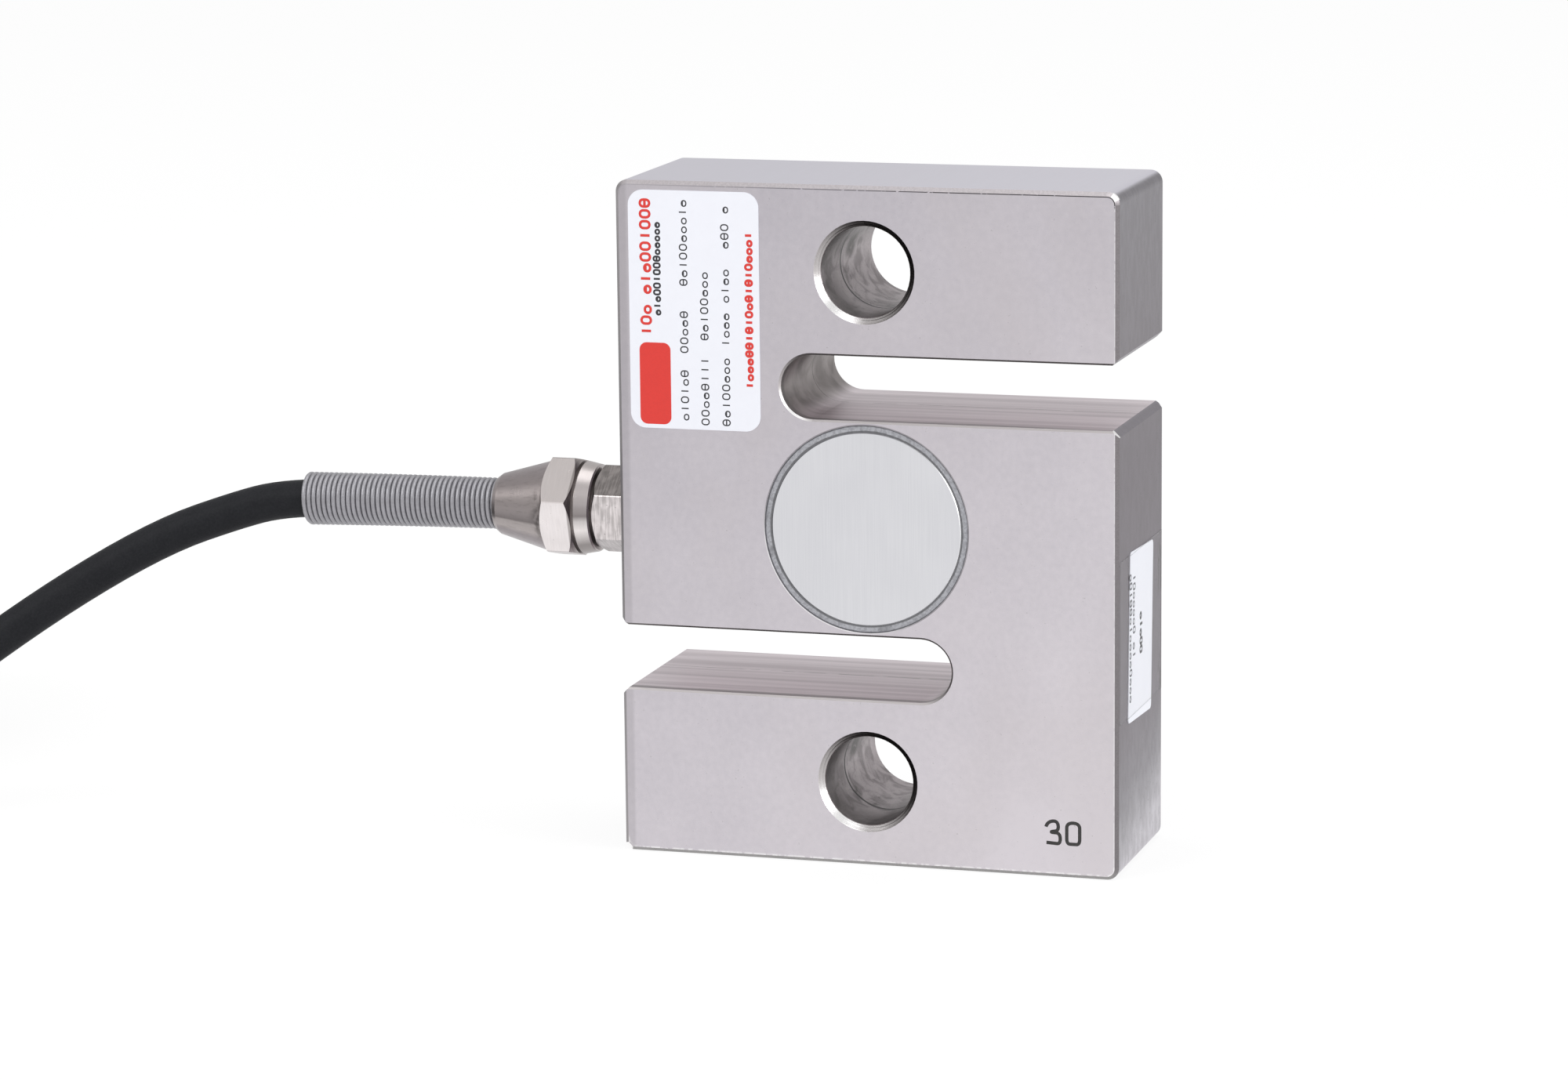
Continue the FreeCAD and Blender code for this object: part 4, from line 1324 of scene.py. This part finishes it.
@dataclass
class Cord:
    """The cord: it droops from the spring to the ground, and the rest is coiled and tied.

    Fields:
        level: the height of its middle where it lies on the ties.
        exit: where it leaves the spring.
        droop: its route's points, down to where the coil starts, in millimetres.
        centre: the coil's middle.
        radii: the two turns' radii, the outer one first.
        layers: how many full layers there are, each of the two turns.
        layer_turns: degrees from the start of one layer to the start of the next.
        step: degrees between the coil's points.
        last: where the cord ends, in degrees round the coil.
        length: the cord's whole length. It is not used.
        rings: how many rings of faces there are to each of its spline's points.
    """

    level: float = 3.95 * MM
    exit: Triple = (-93.35 * MM, 0.0, 48.95 * MM)
    droop: tuple[Triple, ...] = (
        (-98.5, -0.2, 48.6),
        (-105.0, -1.2, 46.8),
        (-116.0, -4.5, 42.9),
        (-130.0, -11.0, 34.55),
        (-145.0, -18.8, 23.5),
        (-156.0, -23.2, 14.0),
        (-165.5, -26.2, 7.6),
        (-175.0, -27.0, 3.95),
        (-185.0, -27.0, 3.95),
        (-196.0, -27.0, 3.95),
    )
    centre: Pair = (-205.57 * MM, 5.45 * MM)
    radii: Pair = (32.45 * MM, 26.55 * MM)
    layers: int = 8
    layer_turns: int = 672
    step: int = 24
    last: int = 5616
    length: float = 3.0
    rings: int = 5

    def build(self) -> None:
        """Lays the cord, and dresses what is on it."""
        curve = nurbs_curve("cord", self.points(), CORD_DIAMETER, self.rings)
        curve.materials.append(Finishes.JACKET.material)
        cord = add_object("cord", curve)
        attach(cord, BODY)
        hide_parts("cable_run", "cable_coil")
        dress(Finishes.TIE, "coil_tie_1", "coil_tie_2")
        dress(Finishes.SLEEVE, "cable_end_sleeve")
        for colour, finish in CORES.items():
            dress(finish, f"lead_{colour}")
        dress(Finishes.TINNED, "drain_wire")
        with_it = ["cable_end_sleeve", "coil_tie_1", "coil_tie_2", "drain_wire"]
        with_it += [f"lead_{colour}" for colour in CORES]
        LOG.info("laid the cord")

    def points(self) -> list[Triple]:
        """The control points of the cord's spline, from the spring to its cut end."""
        route = [self.exit]
        route += [tuple(value * MM for value in point) for point in self.droop]
        for turned in range(self.step // 2, self.last, self.step):
            route.append(self.coil_point(turned, 1 / math.cos(math.radians(self.step / 2))))
        route.append(self.coil_point(self.last, 1.0))
        return route

    def coil_point(self, turned: float, outward: float) -> Triple:
        """A point of the coil.

        Args:
            turned: degrees wound since the coil's start, clockwise.
            outward: how many times the turn's radius it is from the coil's middle.

        Returns:
            The control point.
        """
        layer = min(int(turned // self.layer_turns), self.layers)
        within = turned - layer * self.layer_turns
        half = self.layer_turns / 2
        shift = min(max((within - half) / self.step + 1.0, 0.0), 1.0)
        climb = min(max((within - self.layer_turns) / self.step + 1.0, 0.0), 1.0)
        if layer == self.layers:
            shift = climb = 0.0
        inward = shift if layer % 2 == 0 else 1.0 - shift
        radius = self.radii[0] + (self.radii[1] - self.radii[0]) * inward
        radius *= outward
        angle = math.radians(-90.0 - turned)
        return (
            self.centre[0] + radius * math.cos(angle),
            self.centre[1] + radius * math.sin(angle),
            self.level + (layer + climb) * CORD_DIAMETER,
        )


# The lines of the struck figures, as shares of a figure's width and height
THREE = (
    (0, 0.76), (0.12, 1), (0.9, 1.08), (1, 0.6), (0.42, 0.55),
    (0.42, 0.5), (1.1, 0.5), (1.12, -0.02), (0.6, 0), (0.04, 0.02),
)
NOUGHT = ((0.5, 1), (0, 1), (0, 0.5), (0, 0), (0.5, 0), (1, 0), (1, 0.5), (1, 1), (0.5, 1))


@dataclass
class Block:
    """The steel block, its gauge wells, what is bonded in them, and the number struck in it.

    Fields:
        face: where the front face is.
        figures: where the number's lower left corner is, along X and Z.
        figure_size: a figure's width and height.
        figure_pitch: from one figure to the next.
        stroke: how wide a figure's line is.
        flatness: a line's thickness, of its width.
    """

    face: float = -14.3 * MM
    figures: Pair = (27.2 * MM, 5.15 * MM)
    figure_size: Pair = (1.95 * MM, 3.2 * MM)
    figure_pitch: float = 3.15 * MM
    stroke: float = 0.52 * MM
    flatness: float = 0.08

    def build(self) -> None:
        """Dresses the block and the wells, and strikes the number."""
        dress(Finishes.STEEL, "sensor_body")
        dress(Finishes.COVER, "front_cover", "rear_cover")
        dress(Finishes.SEALANT, "front_sealant", "rear_sealant")
        dress(Finishes.BOARD, "terminal_board")
        dress(Finishes.RESISTOR, "trim_resistor")
        for side in ("left", "right"):
            dress(Finishes.GAUGE, f"front_gauge_{side}", f"rear_gauge_{side}")
        for number, finish in enumerate(CORES.values(), 1):
            dress(finish, f"inner_core_{number}")
        for index, outline in enumerate((THREE, NOUGHT)):
            self.strike(f"struck_figure_{index + 1}", index, outline)

    def strike(self, name: str, index: int, outline: Sequence[Pair]) -> None:
        """Strikes one figure as a shallow dark line in the face.

        Args:
            name: the piece's name.
            index: which figure it is, from the left.
            outline: its line's control points, from 0 to 1 across and up.
        """
        left, base = self.figures[0] + index * self.figure_pitch, self.figures[1]
        wide, tall = self.figure_size
        points = [(left + u * wide, 0.0, base + v * tall) for u, v in outline]
        mesh = tube_mesh(name, points, self.stroke, rings=6)
        flat = Matrix.Diagonal((1.0, self.flatness, 1.0, 1.0))
        mesh.transform(Matrix.Translation((0.0, self.face, 0.0)) @ flat)
        add_piece(name, mesh, Finishes.STAMP)


@dataclass(frozen=True)
class Row:
    """A row of plain marks on a label, which reads upwards.

    Fields:
        across: its middle, in millimetres from the label's left side.
        spans: where each group of marks starts and ends, up from the label's lower end.
        tall: how tall a mark is.
        pitch: from one mark to the next.
        stroke: how wide a mark's line is.
        ink: its finish.
    """

    across: float
    spans: tuple[Pair, ...]
    tall: float
    pitch: float
    stroke: float
    ink: Finishes


@dataclass
class Labels:
    """The paper label on the front, and the one under clear film on the right face.

    Fields:
        front_corner: the front label's lower left corner, and its face.
        side_corner: the side label's upper left corner, and its face.
        block: the red block's width, height and corner radius.
        block_middle: its middle, from the front label's corner.
        block_parts: how many lines each of its corners has.
        proud: how far the red block stands out of the paper.
        flatness: a mark's thickness, of its line's width.
        mark_width: a mark's width, of the pitch.
        small_mark: a small mark's height, of a tall one's.
        side_face: where the right face is.
        side_half: half the side label's width and height.
        side_middle: its middle, along Y and Z.
        side_lean: how far it leans towards the back, in degrees.
        film_half: half the film's width.
        film_low: where the film starts.
        film_high: where it ends.
        film_over: how far out its face is where it lies over the label.
        film_beside: the same where it lies on the steel.
        film_thin: its thickness.
        film_slope: how far round the label it slopes down.
        film_steps: how many faces it has across and up.
    """

    front_corner: Triple = (-36.05 * MM, -14.42 * MM, 64.75 * MM)
    side_corner: Triple = (38.22 * MM, -7.85 * MM, 47.4 * MM)
    block: Triple = (4.8 * MM, 12.2 * MM, 1.1 * MM)
    block_middle: Pair = (3.9 * MM, 6.7 * MM)
    block_parts: int = 6
    proud: float = 0.02 * MM
    flatness: float = 0.08
    mark_width: float = 0.64
    small_mark: float = 0.62
    side_face: float = 38.1 * MM
    side_half: Pair = (7.45 * MM, 12.75 * MM)
    side_middle: Pair = (-0.4 * MM, 34.7 * MM)
    side_lean: float = 2.7
    film_half: float = 13.55 * MM
    film_low: float = 23.15 * MM
    film_high: float = 47.45 * MM
    film_over: float = 0.21 * MM
    film_beside: float = 0.07 * MM
    film_thin: float = 0.05 * MM
    film_slope: float = 0.55 * MM
    film_steps: tuple[int, int] = (90, 80)

    def build(self) -> None:
        """Dresses the labels and the film, and prints their plain rows."""
        dress(Finishes.LABEL, "front_label", "side_label")
        self.lay_film()
        tree = self.row_tree()
        upwards = Matrix(((0, -1, 0, 0), (0, 0, -1, 0), (1, 0, 0, 0), (0, 0, 0, 1)))
        downwards = Matrix(((0, 0, 1, 0), (0, 1, 0, 0), (-1, 0, 0, 0), (0, 0, 0, 1)))
        red, dark, grey = Finishes.RED_INK, Finishes.DARK_INK, Finishes.GREY_INK
        front_rows = (
            Row(2.6, ((14.5, 18.3), (20.7, 33.9)), 1.85, 1.6, 0.4, red),
            Row(4.35, ((17.3, 31.2),), 1.25, 1.0, 0.3, dark),
            Row(8.45, ((1.8, 9.5), (11.9, 17.6), (21.9, 34.1)), 1.3, 1.3, 0.2, dark),
            Row(11.6, ((1.2, 11.0), (13.9, 23.6)), 1.3, 1.3, 0.2, dark),
            Row(
                14.85,
                ((1.2, 11.0), (13.1, 17.6), (19.6, 24.2), (27.6, 30.8), (32.8, 32.9)),
                1.3,
                1.3,
                0.2,
                dark,
            ),
            Row(18.5, ((6.9, 29.6),), 1.35, 1.17, 0.38, red),
        )
        side_rows = (
            Row(1.0, ((3.4, 21.6),), 1.7, 1.3, 0.3, grey),
            Row(3.1, ((3.8, 12.0), (14.0, 16.4)), 1.7, 1.3, 0.3, grey),
            Row(7.6, ((10.3, 15.6),), 1.9, 1.28, 0.44, dark),
        )
        for index, row in enumerate(front_rows):
            self.print_row(f"front_print_{index + 1}", tree, row, self.front_corner, upwards)
        for index, row in enumerate(side_rows):
            self.print_row(f"side_print_{index + 1}", tree, row, self.side_corner, downwards)
        self.print_block()

    def lay_film(self) -> None:
        """Lays the clear film, which steps up over the label's edges."""
        across, up = self.film_steps
        shape = bmesh.new()
        layers = ([], [])
        for row in range(up + 1):
            z = self.film_low + (self.film_high - self.film_low) * row / up
            for column in range(across + 1):
                y = self.film_half * (2 * column / across - 1)
                outside = self.side_face + self.film_lift(y, z)
                layers[0].append(shape.verts.new((outside, y, z)))
                layers[1].append(shape.verts.new((outside - self.film_thin, y, z)))
        for row in range(up):
            for column in range(across):
                first = row * (across + 1) + column
                ring = (first, first + 1, first + across + 2, first + across + 1)
                shape.faces.new([layers[0][i] for i in ring]).smooth = True
                shape.faces.new([layers[1][i] for i in reversed(ring)]).smooth = True
        rim = list(range(across + 1))
        rim += [row * (across + 1) + across for row in range(1, up + 1)]
        rim += [up * (across + 1) + column for column in range(across - 1, -1, -1)]
        rim += [row * (across + 1) for row in range(up - 1, 0, -1)]
        for here, following in zip(rim, rim[1:] + rim[:1]):
            outer, inner = ([layer[following], layer[here]] for layer in layers)
            shape.faces.new([*outer, *reversed(inner)])
        bmesh.ops.recalc_face_normals(shape, faces=shape.faces)
        name = "clear_film_sheet"
        add_piece(name, kept_mesh(name, shape), Finishes.FILM, "side_film")

    def film_lift(self, y: float, z: float) -> float:
        """How far the film's outside stands off the block at a point.

        Args:
            y: where the point is along Y.
            z: its height.

        Returns:
            The lift: high over the label, low beside it, with a smooth slope between them.
        """
        lean = math.radians(self.side_lean)
        beside, above = y - self.side_middle[0], z - self.side_middle[1]
        u = abs(beside * math.cos(lean) - above * math.sin(lean)) - self.side_half[0]
        v = abs(beside * math.sin(lean) + above * math.cos(lean)) - self.side_half[1]
        away = math.hypot(max(u, 0.0), max(v, 0.0)) + min(max(u, v), 0.0)
        share = min(max(away / self.film_slope, 0.0), 1.0)
        share = share**2 * (3 - 2 * share)
        return self.film_over + (self.film_beside - self.film_over) * share

    def print_row(
        self, name: str, tree: bpy.types.NodeTree, row: Row, corner: Sequence[float], turn: Matrix
    ) -> None:
        """Prints one row, each group of its marks in turn.

        Args:
            name: the piece's name.
            tree: the geometry tree of a group of marks.
            row: the row.
            corner: the label's corner that the row is measured from.
            turn: turns a row that reads along +X, seen from +Z, to the way it reads on the label.
        """
        shape = bmesh.new()
        for number, (start, end) in enumerate(row.spans):
            group = grow(
                tree,
                Count=int((end - start) / row.pitch) + 1,
                Pitch=row.pitch * MM,
                Wide=row.pitch * self.mark_width * MM,
                Tall=(row.tall - row.stroke) * MM,
                Stroke=row.stroke * MM,
                Seed=len(name) + ord(name[-1]) + number,
                Material=row.ink.material,
            )
            sign = -1.0 if turn[0][1] else 1.0
            place = Matrix.Translation((start * MM, sign * row.across * MM, 0.0))
            flat = Matrix.Diagonal((1.0, 1.0, self.flatness, 1.0))
            group.transform(Matrix.Translation(corner) @ turn @ place @ flat)
            shape.from_mesh(group)
        add_piece(name, kept_mesh(name, shape), row.ink)

    def row_tree(self) -> bpy.types.NodeTree:
        """Builds the geometry tree of a group of plain marks along X.

        Returns:
            The tree.
        """
        tree = Growth(
            "print_row",
            Count="Int",
            Pitch="Float",
            Wide="Float",
            Tall="Float",
            Stroke="Float",
            Seed="Int",
        )
        given = tree.given
        wide, tall = given["Wide"], given["Tall"]
        pen = tree.circle(given["Stroke"], 8)
        marks = []
        for share in (1.0, self.small_mark):
            box = tree.node(
                "GeometryNodeCurvePrimitiveQuadrilateral",
                sockets={"Width": wide, "Height": tall * share},
            )
            round_box = tree.node(
                "GeometryNodeFilletCurve",
                {"mode": "POLY"},
                {"Curve": box, "Radius": wide * 0.48, "Count": 4, "Limit Radius": True},
            )
            ring = tree.node(
                "GeometryNodeCurveToMesh", sockets={"Curve": round_box, "Profile Curve": pen}
            )
            drop = tree.vector(Y=tall * ((share - 1.0) / 2))
            marks.append(
                tree.node("GeometryNodeTransform", sockets={"Geometry": ring, "Translation": drop})
            )
        waist, upright = (
            tree.node("GeometryNodeCurvePrimitiveLine", sockets={"Start": start, "End": end})
            for start, end in (
                (tree.vector(X=wide * -0.5), tree.vector(X=wide * 0.5)),
                (tree.vector(Y=tall * -0.5), tree.vector(Y=tall * 0.5)),
            )
        )
        bar = tree.along(waist, pen)
        for ring in marks[:]:
            marks.append(tree.node("GeometryNodeJoinGeometry", sockets={0: [ring, bar]}))
        marks.append(tree.along(upright, pen))
        kinds = tree.node("GeometryNodeGeometryToInstance", sockets={0: marks})
        step = tree.vector(X=given["Pitch"])
        places = tree.node(
            "GeometryNodeMeshLine", sockets={"Count": given["Count"], "Offset": step}
        )
        random = tree.node("FunctionNodeRandomValue", {"data_type": "INT"}).socket.node
        tree.feed(random.inputs[4], 0)
        tree.feed(random.inputs[5], len(marks) - 1)
        tree.feed(random.inputs["Seed"], given["Seed"])
        spread = tree.node(
            "GeometryNodeInstanceOnPoints",
            sockets={
                "Points": places,
                "Instance": kinds,
                "Pick Instance": True,
                "Instance Index": Signal(tree, random.outputs[2]),
            },
        )
        return tree.close(spread)

    def print_block(self) -> None:
        """Prints the plain red block at the front label's lower left."""
        wide, tall, radius = self.block
        left, face, base = self.front_corner
        left, base = left + self.block_middle[0], base + self.block_middle[1]
        outline = []
        for turn, (side, up) in enumerate(((1, -1), (1, 1), (-1, 1), (-1, -1))):
            for part in range(self.block_parts + 1):
                angle = math.radians((turn - 1 + part / self.block_parts) * 90)
                x = side * (wide / 2 - radius) + radius * math.cos(angle)
                z = up * (tall / 2 - radius) + radius * math.sin(angle)
                outline.append((left + x, face, base + z))
        shape = bmesh.new()
        bottom = shape.faces.new([shape.verts.new(point) for point in outline])
        made = bmesh.ops.extrude_face_region(shape, geom=[bottom])
        lifted = [item for item in made["geom"] if isinstance(item, bmesh.types.BMVert)]
        bmesh.ops.translate(shape, verts=lifted, vec=(0.0, -self.proud, 0.0))
        bmesh.ops.recalc_face_normals(shape, faces=shape.faces)
        add_piece("red_block", kept_mesh("red_block", shape), Finishes.RED_INK)


@dataclass(frozen=True)
class Lamp:
    """A soft lamp that shines at the block.

    Fields:
        name: its name.
        place: where it hangs.
        size: its width and height.
        power: its power in watts.
        aim: the point that it shines at.
    """

    name: str
    place: Triple
    size: Pair
    power: float
    aim: Triple = (0.0, 0.0, 0.05)

    def hang(self) -> None:
        """Adds the lamp to the scene."""
        data = bpy.data.lights.new(self.name, "AREA")
        data.shape = "RECTANGLE"
        data.size, data.size_y = self.size
        data.energy = self.power
        lamp = add_object(self.name, data)
        turn = (Vector(self.aim) - Vector(self.place)).to_track_quat("-Z", "Y")
        lamp.matrix_world = Matrix.Translation(self.place) @ turn.to_matrix().to_4x4()


@dataclass
class Studio:
    """A pale floor, soft lamps, and the camera.

    Fields:
        position: where the camera is.
        target: a point that it looks at.
        roll: how far it is turned about its own line of sight, in degrees.
        lens: its focal length in millimetres.
        film: its frame's width in millimetres.
        lamps: the lamps.
        room: how strong the world's light is.
        floor_size: half the floor's width.
        floor_grey: the floor's colour.
        floor_glow: how strongly the floor shines for the rays that show the background.
        floor_share: how much of that shine counts, against the shadows on the floor.
    """

    position: Triple = (0.21183, -0.75204, 0.19691)
    target: Triple = (-0.01528, -0.00543, 0.04692)
    roll: float = -0.61
    lens: float = 122.05
    film: float = 36.0
    lamps: tuple[Lamp, ...] = (
        Lamp("key", (-0.55, -0.75, 0.85), (0.7, 0.5), 4.0),
        Lamp("top", (0.1, 0.1, 1.1), (0.9, 0.7), 3.0),
        Lamp("fill", (1.0, -0.25, 0.4), (0.5, 0.5), 3.0),
    )
    room: float = 0.75
    floor_size: float = 6.0
    floor_grey: Colour = (0.8, 0.8, 0.8)
    floor_glow: float = 1.06
    floor_share: float = 0.8

    def build(self) -> None:
        """Sets up the camera, the floor, the lamps and the world."""
        self.place_camera()
        self.lay_floor()
        for lamp in self.lamps:
            lamp.hang()
        self.light_world()
        bpy.context.scene.view_settings.view_transform = "Standard"

    def place_camera(self) -> None:
        """Makes the camera and turns it to the target."""
        data = bpy.data.cameras.new("camera")
        data.sensor_width = self.film
        data.lens = self.lens
        data.clip_start = 0.01
        camera = add_object("camera", data)
        line = Vector(self.target) - Vector(self.position)
        turn = line.to_track_quat("-Z", "Y").to_matrix().to_4x4()
        roll = Matrix.Rotation(math.radians(self.roll), 4, "Z")
        camera.matrix_world = Matrix.Translation(self.position) @ turn @ roll
        bpy.context.scene.camera = camera

    def lay_floor(self) -> None:
        """Lays the floor, which looks white to the camera and keeps a soft shadow."""
        shape = bmesh.new()
        bmesh.ops.create_grid(shape, x_segments=2, y_segments=2, size=self.floor_size)
        mesh = kept_mesh("floor", shape)
        material = bpy.data.materials.new("pale_floor")
        material.use_nodes = True
        tree = Tree(material.node_tree)
        seen = self.seen_rays(tree) * self.floor_share
        paper = tree.node("ShaderNodeBsdfDiffuse", sockets={"Color": self.floor_grey})
        white = {"Color": (1.0, 1.0, 1.0), "Strength": self.floor_glow}
        glow = tree.node("ShaderNodeEmission", sockets=white)
        mixed = tree.node("ShaderNodeMixShader", sockets={0: seen, 1: paper, 2: glow})
        tree.node("ShaderNodeOutputMaterial", sockets={"Surface": mixed})
        mesh.materials.append(material)
        add_object("floor", mesh)

    @staticmethod
    def seen_rays(tree: Tree) -> Signal:
        """1 for the rays that show the background, seen straight, mirrored or through things."""
        rays = tree.node("ShaderNodeLightPath").socket.node.outputs
        names = ("Is Camera Ray", "Is Glossy Ray", "Is Transmission Ray")
        camera, glossy, through = (Signal(tree, rays[name]) for name in names)
        return camera.greatest(glossy).greatest(through)

    def light_world(self) -> None:
        """Fills the world with soft light, white where the camera sees it."""
        world = bpy.data.worlds.new("studio")
        world.use_nodes = True
        bpy.context.scene.world = world
        tree = Tree(world.node_tree)
        camera = Signal(tree, tree.node("ShaderNodeLightPath").socket.node.outputs["Is Camera Ray"])
        room, white = (
            tree.node("ShaderNodeBackground", sockets={"Color": (1.0, 1.0, 1.0), "Strength": power})
            for power in (self.room, 1.0)
        )
        mixed = tree.node("ShaderNodeMixShader", sockets={0: camera, 1: room, 2: white})
        tree.node("ShaderNodeOutputWorld", sockets={"Surface": mixed})


def main() -> None:
    """Builds every sub-assembly in order."""
    logging.basicConfig(level=logging.INFO, format="%(message)s")
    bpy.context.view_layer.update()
    for part in (Studio(), Cord(), Gland(), Block(), Labels()):
        part.build()
        LOG.info("finished %s", type(part).__name__)


if __name__ == "__main__":
    main()
